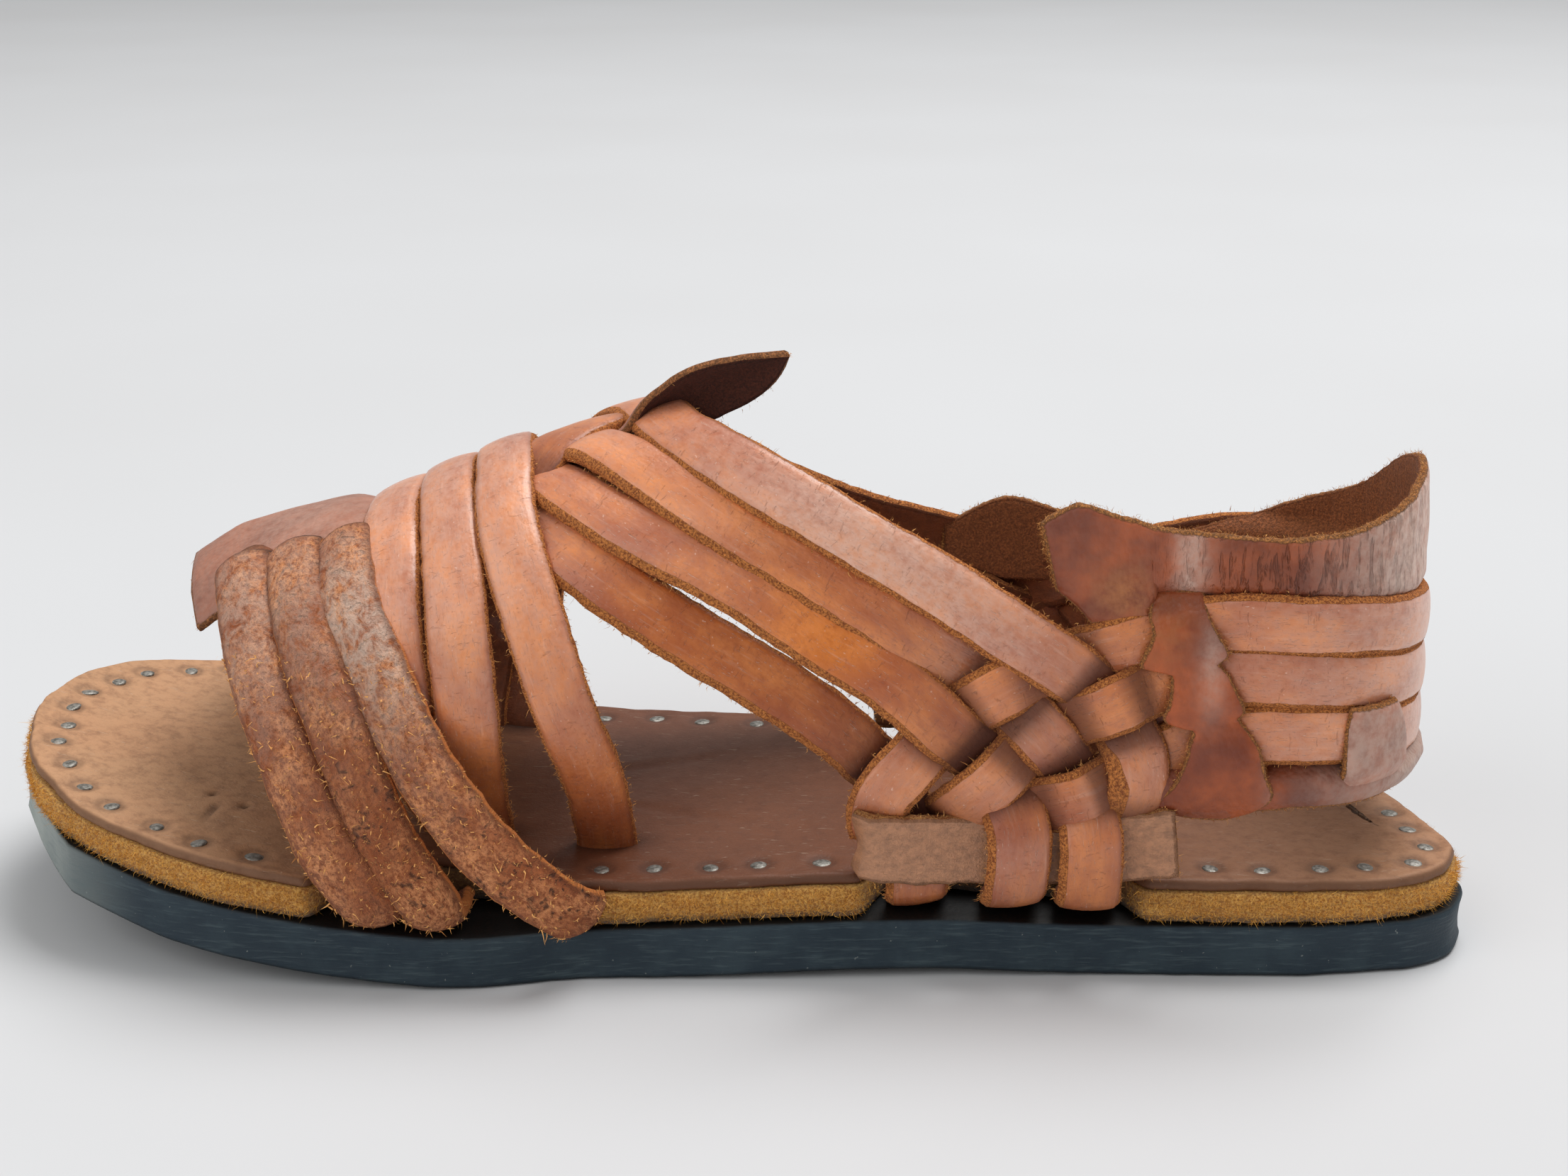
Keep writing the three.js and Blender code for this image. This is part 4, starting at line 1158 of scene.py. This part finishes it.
def build_toe_straps():
    for k, rows in enumerate(TOE_STRAPS):
        seed = 100 + 20 * k
        face = strap(f"toe_strap_{k + 1}", rows, TOE_STRAP_WIDTH, seed, TOE_SHADES[k],
                     thick=SUEDE_THICK, finish=SUEDE, slot="suede_strap_leather", torn=TOE_TORN[k],
                     crown=2.0, rough=1.8)
        low = face["at"][:, 2] < LINT_TOP
        fibre_tufts("suede", face["at"][low], face["normal"][low], seed + 6, per_point=1.1,
                    length=1.2, spread=1.2, tone=1.0, wide=0.12)


def build_vamp_straps():
    for k, rows in enumerate(VAMP_STRAPS):
        strap(f"vamp_strap_{k + 1}", rows, VAMP_STRAP_WIDTH, 200 + 20 * k, VAMP_SHADE, crown=0.7)


def build_side_straps():
    """The first one crosses over the instep from the far side. The others start under it."""
    width, crown = SIDE_STRAP_WIDTH, SMOOTH_CROWN
    strap("side_strap_1_outer", [*OUTER_OVER_INSTEP, *SIDE_STRAPS[0]], width, 300, SIDE_SHADES[0],
          TURNED_LOW_END, crown=crown)
    strap("side_strap_1_inner", [*INNER_OVER_INSTEP, *mirrored(SIDE_STRAPS[0])], width, 310,
          HIDDEN_SIDE_SHADE, crown=crown)
    for k, rows in enumerate(SIDE_STRAPS[1:], start=2):
        shade = SIDE_SHADES[k - 1]
        strap(f"side_strap_{k}_outer", rows, width, 300 + 20 * k, shade, RAW_BELOW, crown=crown)
        strap(f"side_strap_{k}_inner", mirrored(rows), width, 310 + 20 * k, shade,
              RAW_BELOW_MIRRORED, crown=crown)


def build_ankle_straps():
    """Each runs from the outer weave round the heel to the inner one, palest at the back where a highlight
    is painted.
    """
    for k, rows in enumerate(ANKLE_STRAPS, start=1):
        both = [*rows, *mirrored(rows[:-1])[::-1]]
        n = len(rows)
        shade = sorted([
            (0, 0.05, 0.25, 0.1), (2, 0.3, 0, 0.3), (n - 10, 0.15, 0.05, 0.2), (n - 8, 0.2, 0.1, 0.1),
            (n - 6, 0.3, 0, 0.15), (n - 4, 0.5, 0, 0), (n - 2, 0.85, 0, 0), (n, 0.8, 0, 0),
            (n + 4, 0.4, 0, 0), (2 * n, 0.1, 0.2, 0),
        ])
        strap(f"ankle_strap_{k}", both, ANKLE_STRAP_WIDTH, 400 + 20 * k, shade, RAW_BOTH,
              crown=SMOOTH_CROWN)


def build_foot_bands():
    """Rough side out, with the edge kept upright along the footbed."""
    for side, rows in (("outer", FOOT_BAND), ("inner", mirrored(FOOT_BAND))):
        face = strap(f"foot_band_{side}", rows, FOOT_BAND_WIDTH, 500 + 10 * len(side), BAND_SHADE,
                     finish=BAND, crown=0.5, edge=(0, 0, -1), rough=1.8)
        fibre_tufts("strap", face["at"], face["normal"], 541, per_point=0.6, length=0.6, spread=1.2,
                    tone=0.7)


# ---- tongue and heel cuff -------------------------------------------------
def cuff_leather(name, grid, thick, seed, finish, slot, node, ragged, per_point, length,
                 fibre_seed=None, **paint):
    """One sheet of the soft leather, with fibres along its cut edge."""
    paint = {"gold": 0.0, "pleat": 0.0, **paint}
    points, faces, whole, edge, _ = slab(grid, thick, seed, ragged=ragged, **paint)
    piece(name, points, faces, finish, node, whole)
    fibre_tufts("cuff", edge["at"], edge["out"], fibre_seed or seed + 1, per_point, length)


TONGUE_ROWS = [
    (-124, -9.5, 63, 0, 27), (-119, -9.4, 66.4, 0, 26), (-114, -9.2, 69.6, 0, 24),
    (-107, -8.8, 73.4, 0.3, 14), (-100, -8.5, 76.4, 0.3, 8), (-91, -8, 79.4, 0.2, 3),
    (-82, -6.5, 80.2, -0.9), (-71, -4.5, 84, -1.1), (-60, -3, 87.7, -1.2), (-50, -3, 90.2, -1.4),
    (-42, -5, 93.4, -0.6), (-35.5, -5.5, 96.4, 0, -24), (-30, -5.5, 100.6, 0, -52),
    (-21.5, -6, 105.4, 0, -66), (-12, -6, 108.8, 0, -70), (-4.6, -7, 112.4, 0, -70),
]
TONGUE_TAPER = columns(["place", "share"], [(0, 1), (9, 0.95), (10.8, 0.5), (12, 0.48), (13, 0.52),
                                            (13.8, 0.44), (14.5, 0.26), (15, 0.06)])
# pale is a painted highlight along the tongue, dark is painted shade, most where it curls up
TONGUE_SHADE = columns(["place", "pale", "dark"], [
    (0, 0.35, 0.15), (2, 0.4, 0.05), (4, 0.5, 0), (6, 0.35, 0), (10, 0.3, 0.1), (10.6, 0.4, 0.1),
    (12, 0.1, 0.3), (15, 0, 0.3),
])
TONGUE_WIDTH = 23.5
CURL_START = 10.5
CURL_END = 12.5


def build_tongue():
    """Draped over the toe and vamp straps, and cupped where it curls up as a leaf."""
    grid, _, across, spot, _ = strap_grid(TONGUE_ROWS, TONGUE_WIDTH, 600, crown=0.0,
                                          taper=TONGUE_TAPER)
    curl = ease(spot, CURL_START, CURL_END)[:, None]
    bend = SPREAD[None, :] ** 2
    normal = unit(np.cross(np.gradient(grid, axis=0), np.gradient(grid, axis=1)))
    cup = -3.6 * curl * bend * (across[:, -1:] / 11)
    drape = -1.5 * (1 - curl) * bend
    grid = grid + normal * (cup + drape)[..., None]
    paint = {key: smooth(TONGUE_SHADE["place"], TONGUE_SHADE[key], spot)[:, None]
             for key in ("pale", "dark")}
    cuff_leather("tongue_leather", grid, TONGUE_THICK, 605, TONGUE, "tongue_leather", "tongue_strip",
                 0.12, per_point=2.0, length=0.6, **paint)


WALL = columns(["x", "y", "top", "bottom", "slant"], [
    (44.4, -36.3, 88.8, 76, 3.2), (48, -36.5, 91, 72.5, 4.0), (51.7, -36.6, 92, 70.2, 2.5),
    (57.5, -36.7, 90.2, 70.6, 0.5), (62, -36.8, 89, 71.3, 0), (64, -36.9, 88.3, 71.2, 0),
    (65.2, -36.9, 88.0, 37, 0), (68, -36.9, 87.6, 34.8, 0), (74, -36.8, 87.4, 33, 0),
    (80, -36.8, 87.2, 33, 0), (85, -37.1, 87, 35, 0), (92, -37.1, 86.9, 36, 0),
    (102, -33.5, 88, 35.6, 0), (111, -25.5, 90.2, 35.4, 0), (116.5, -14, 92.8, 34.5, 0),
    (118.3, -3, 94, 33.5, 0), (116.5, 8, 91, 34, 0), (111, 19.2, 83, 36, 0), (102, 27.2, 77.4, 36.5, 0),
    (92, 31, 72.8, 36, 0), (84, 31.4, 70.2, 34, 0), (78, 31.6, 68.8, 32, 0), (72, 31.8, 68, 32, 0),
    (65.2, 32, 67.8, 34, 0), (64, 32, 67.8, 57, 0), (57, 32.2, 69, 56, 0), (50, 32.4, 71, 56, 0),
    (38, 33, 73.4, 56, 0), (26, 34, 67.5, 60, 0),
])
WALL_INDEX = np.arange(len(WALL["x"]), dtype=float)
BACK_INDEX = 15
WALL_STATIONS = 300
WALL_LEVELS = 64
CUFF = dict(thick=CUFF_THICK, finish=CUFF_LEATHER, slot="cuff_leather", node="heel_cuff")
SPREAD_WIDE = np.concatenate([[-1, -0.97, -0.91], np.linspace(-0.82, 0.82, 22), [0.91, 0.97, 1]])


def wall_column(name, index):
    if name == "bottom":
        return np.interp(index, WALL_INDEX, WALL[name])
    return smooth(WALL_INDEX, WALL[name], index)


WALL_LEAN = 0.045
LEAN_LEVEL = 62
LEAN_MOST = 1.5


def wall_points(index, z, off):
    """Points on the wall round the heel at a place, height and distance out from the straps' plane."""
    step = 0.02
    x, y = wall_column("x", index), wall_column("y", index)
    dx = wall_column("x", index + step) - wall_column("x", index - step)
    dy = wall_column("y", index + step) - wall_column("y", index - step)
    size = np.hypot(dx, dy)
    lean = np.clip(WALL_LEAN * (z - LEAN_LEVEL), -LEAN_MOST, LEAN_MOST)
    out = off - lean
    return np.stack([x + dy / size * out, y - dx / size * out, z], axis=-1)


def index_of(x, inner=False):
    """Place in the wall table for an x on the outer or the inner side."""
    if inner:
        return np.interp(-np.asarray(x, float), -WALL["x"][BACK_INDEX:], WALL_INDEX[BACK_INDEX:])
    return np.interp(x, WALL["x"][:BACK_INDEX + 1], WALL_INDEX[:BACK_INDEX + 1])


def wall_height(z, x, inner):
    """Height of a place on the wall: z on the outer side, and what matches it on the sunken one."""
    if not inner:
        return z + 0 * x
    share = smooth(INNER_DROP["x"], INNER_DROP["share"], x)
    return FOOTBED_LEVEL + (z - FOOTBED_LEVEL) * (1 - share)


# How deep the ankle straps press the wall in, the heights between which they do so on the
# outer side, and the places in the wall's table.
PRESSED_DEPTH = 2.95
PRESSED_TOP = (74, 79)
PRESSED_FOOT = (40, 43.5)
PRESSED_START = (5.2, 6.4)
PRESSED_END = (24, 26)
# How much lower the collar is on the inner side, and the places between which it goes down.
INNER_COLLAR_DROP = 6
DROP_PLACES = (10.5, 15)


def build_cuff_wall():
    """The leather round the heel: gathered at the collar, pressed in behind the ankle straps,
    turned under along its foot and flared at its outer front corner."""
    gaps = np.linalg.norm(np.diff(np.stack([WALL["x"], WALL["y"]]), axis=1), axis=0)
    run = np.append(0, np.cumsum(gaps))
    index = np.interp(np.linspace(0, run[-1], WALL_STATIONS), run, WALL_INDEX)[:, None]
    v = np.linspace(0, 1, WALL_LEVELS)[None, :]
    top, bottom = wall_column("top", index), wall_column("bottom", index)
    top = top + 0.35 * wander(WALL_STATIONS, 9, 701)[:, None]
    z = bottom + (top - bottom) * v
    drop = INNER_COLLAR_DROP * ease(index, *DROP_PLACES)
    behind = 1 - ease(z, *(level - drop for level in PRESSED_TOP))
    behind = behind * ease(z, *(level - 0.5 * drop for level in PRESSED_FOOT))
    behind = behind * ease(index, *PRESSED_START) * (1 - ease(index, *PRESSED_END))
    curl = 1 - ease(z - bottom, 0, 3.2)
    low_flap = (bottom < 50) * ease(index, 5, 7)
    off = -PRESSED_DEPTH * behind + (0.9 * (1 - ease(z, 40, 43)) - 1.3 * curl) * low_flap
    grid = wall_points(index, z, off)
    grid[..., 0] += wall_column("slant", index) * (1 - v)
    arc = np.interp(index, WALL_INDEX, run)
    pleats = bell(index, 10.6, 3.6) + 0.5 * bell(index, 19.5, 3)
    collar = ease(z, 72 - drop, 78 - drop)
    wave = lumps(np.stack([arc + 0 * z, 0.22 * z, 0 * z], -1), 2.7, 5.0)
    wave = wave + 0.6 * lumps(np.stack([arc + 0.3 * z, 0.2 * z, 0 * z], -1), 5.5, 8.0)
    direction = wall_points(index, z, off + 1) - wall_points(index, z, off)
    grid += direction * (0.75 * pleats * collar * wave + 0.35 * lumps(grid, 9.0, 2.0))[..., None]
    neck = bell(index, 7.4, 1.2) * bell(z, 80, 8)
    grid -= direction * (0.8 * neck)[..., None]
    flare = (1 - ease(index, 0, 3)) * (v - 0.3) * 1.6
    grid += direction * flare[..., None]
    # pale is a painted highlight on the lit back of the cuff and a stripe on the collar; dark is painted
    # shade where the wall is pressed in behind the straps, in the gathered collar and along the foot
    back_highlight = 0.85 * ease(index, 10.5, 13.5) * (1 - ease(index, 18, 21))
    pale = 0.06 + back_highlight + 0.6 * bell(index, 7.6, 0.5) * collar
    dark = 0.35 * behind + 0.3 * bell(index, 9.5, 1.6) * collar + 0.35 * (1 - ease(z, 36, 44))
    cuff_leather("cuff_wall", grid, seed=705, ragged=0.15, per_point=5.0, length=0.7,
                 pale=np.clip(pale, 0, 1), gold=0.7 * bell(index, 3.6, 1.4) * bell(z, 76, 5),
                 dark=np.clip(dark, 0, 1), pleat=np.clip(pleats * collar, 0, 1), **CUFF)


WING = columns(["z", "left", "right", "off"], [
    (76, 65.4, 74, -1.6), (74.5, 65, 74.2, -0.2), (73.2, 64.7, 74.5, 1.1), (72, 64.6, 75, 2.0),
    (69.5, 65.4, 76.4, 2.7), (66, 64.2, 78.5, 2.6), (64.1, 63.6, 76.9, 2.2), (62.9, 63.8, 77.6, 2.1),
    (62.1, 68.4, 78.4, 2.2),
    (58.5, 69.2, 80.6, 2.7), (55.4, 68.8, 82.3, 2.6), (53.7, 68.0, 81.3, 2.2), (52.5, 68.6, 81.9, 2.1),
    (51.5, 72.8, 82.8, 2.2), (48, 72.8, 85.2, 2.8), (45.4, 72.4, 86.2, 2.8), (42.5, 71.6, 87.2, 2.5),
    (39.6, 70.3, 88.4, 1.9), (37.4, 68.4, 88.0, 1.2), (35.4, 67.6, 85.6, 0.2), (33.6, 71.5, 82, -1.2),
    (32.6, 75, 79, -2.2),
])


WING_TOP = {"outer": 76, "inner": 70}
WING_FOOT = 32.7


def build_wing(side):
    """The cuff's side tongue, which lies over the ankle straps and is scalloped between them."""
    inner = side == "inner"
    z = np.arange(WING_TOP[side], WING_FOOT, -0.5)[:, None]
    left, right, off = (smooth(-WING["z"], WING[k], -z) for k in ("left", "right", "off"))
    u = (SPREAD_WIDE[None, :] + 1) / 2
    x = left + (right - left) * u
    rounded = 0.5 * (1 - (2 * u - 1) ** 2)
    index = index_of(x, inner)
    height = wall_height(z, x, inner)
    direction = wall_points(index, height, off + 1) - wall_points(index, height, off)
    grid = wall_points(index, height, off + rounded)
    grid = grid + direction * (0.4 * lumps(grid, 8.0, 4.0))[..., None]
    # pale is a painted highlight on the wing's middle and back; dark is painted shade along its foot and in
    # the fold under its top
    paint = {"pale": 0.02 + 0.4 * bell(x, 76, 2.5) * bell(z, 64, 9) + 0.2 * ease(x, 84, 90),
             "gold": 0.35 * bell(x, 67, 5) * bell(z, 70, 7),
             "dark": 0.2 * (1 - ease(z, 36, 46)) + 0.4 * bell(z, 74, 2.2) + 0 * x}

    def face_out(values):
        """The same grid turned so that its upper face looks out on this side."""
        return np.swapaxes(values[::-1, ::-1] if inner else values[::-1], 0, 1)

    cuff_leather(f"cuff_wing_{side}", face_out(grid), seed=720 + inner, fibre_seed=730 + inner,
                 ragged=0.15, per_point=4.0, length=0.7,
                 **{key: face_out(values) for key, values in paint.items()}, **CUFF)


TAB_MIDDLE = 106.0
TAB_FRONT = 100.5


def build_heel_tab(side):
    """The short tab at the back of the cuff that holds the lowest ankle strap."""
    inner = side == "inner"
    centre = index_of(TAB_MIDDLE, inner)
    reach = abs(index_of(TAB_FRONT, inner) - centre)
    z = np.linspace(36.5, 54.6, 34)[:, None]
    u = SPREAD_WIDE[None, :]
    corner = np.sqrt(np.clip(1 - ease(z, 42, 55.4) ** 2 * 0.75, 0, 1))
    round_share = np.where(u > 0, corner, 1 - 0.12 * ease(z, 50, 55.2))
    index = centre + u * reach * round_share
    off = 2.7 * ease(z, 37.5, 43) - 0.4 + 0.35 * (1 - u**2) - 0.7 * ease(np.abs(u), 0.8, 1.0)
    grid = wall_points(index, wall_height(z, wall_column("x", index), inner), off)
    # pale is a painted highlight, as on the lit back of the cuff; dark a faint painted shade
    cuff_leather(f"heel_tab_{side}", np.swapaxes(grid, 0, 1), seed=740 + inner,
                 fibre_seed=742 + inner, ragged=0.12, per_point=2.0, length=0.6, pale=0.55,
                 dark=0.05, **CUFF)


build_insole()
build_midsole()
build_outsole()
build_nails()
build_toe_straps()
build_vamp_straps()
build_side_straps()
build_ankle_straps()
build_foot_bands()
build_tongue()
build_cuff_wall()
for cuff_side in ("outer", "inner"):
    build_wing(cuff_side)
    build_heel_tab(cuff_side)
fibre_piece("strap_edge_fibres", "strap", FIBRE, "upper_straps")
fibre_piece("suede_fibres", "suede", FIBRE, "upper_straps")
fibre_piece("midsole_nap", "sole", NAP, "midsole")
fibre_piece("cuff_edge_fibres", "cuff", FIBRE, "heel_cuff")


# ---- floor, light and camera ----------------------------------------------
FLOOR_REACH = 8.0
FLOOR_LINES = 24


def floor():
    line = np.linspace(-FLOOR_REACH, FLOOR_REACH, FLOOR_LINES)
    points = [(x, y, 0.0) for x in line for y in line]
    mesh = bpy.data.meshes.new("studio_floor")
    mesh.from_pydata(points, [], grid_faces(FLOOR_LINES, FLOOR_LINES).tolist())
    f = Finish("pale floor", Specular_IOR_Level=0.2)
    cloud = f.grain(f.spot(), 260.0, 2.0, 0.5)
    colour = f.mix(cloud, tint(213, 215, 218), tint(219, 222, 226))
    mesh.materials.append(f.drive(Base_Color=colour, Roughness=0.7 + 0.1 * cloud))
    thing = bpy.data.objects.new("studio_floor", mesh)
    bpy.context.scene.collection.objects.link(thing)


LIGHTS_MEET = (0, 0, 0.03)


def soft_light(name, at, size, power, color):
    lamp = bpy.data.lights.new(name, "AREA")
    lamp.shape = "RECTANGLE"
    lamp.size, lamp.size_y = size
    lamp.energy = power
    lamp.color = color
    thing = bpy.data.objects.new(name, lamp)
    thing.location = at
    aim = Vector(LIGHTS_MEET) - Vector(at)
    thing.rotation_euler = aim.to_track_quat("-Z", "Y").to_euler()
    bpy.context.scene.collection.objects.link(thing)


def world():
    sky = bpy.data.worlds.new("studio")
    sky.use_nodes = True
    back = sky.node_tree.nodes["Background"]
    back.inputs["Color"].default_value = (1.0, 0.985, 0.96, 1)
    back.inputs["Strength"].default_value = 0.4
    bpy.context.scene.world = sky


floor()
world()
soft_light("window", at=(0.8, 0.8, 2.7), size=(2.0, 1.6), power=66.0, color=(1.0, 0.98, 0.96))
soft_light("fill", at=(-0.9, -0.9, 0.9), size=(1.4, 1.2), power=6.5, color=(1.0, 0.985, 0.96))
lens = bpy.data.cameras.new("camera")
lens.lens = 54.0
lens.sensor_width = 36.0
lens.clip_end = 40.0
camera = bpy.data.objects.new("camera", lens)
camera.location = (0.0498, -0.44076, 0.2129)
camera.rotation_euler = (math.radians(71.5), 0.0, math.radians(5.0))
bpy.context.scene.collection.objects.link(camera)
bpy.context.scene.camera = camera
bpy.context.scene.view_settings.view_transform = "Standard"
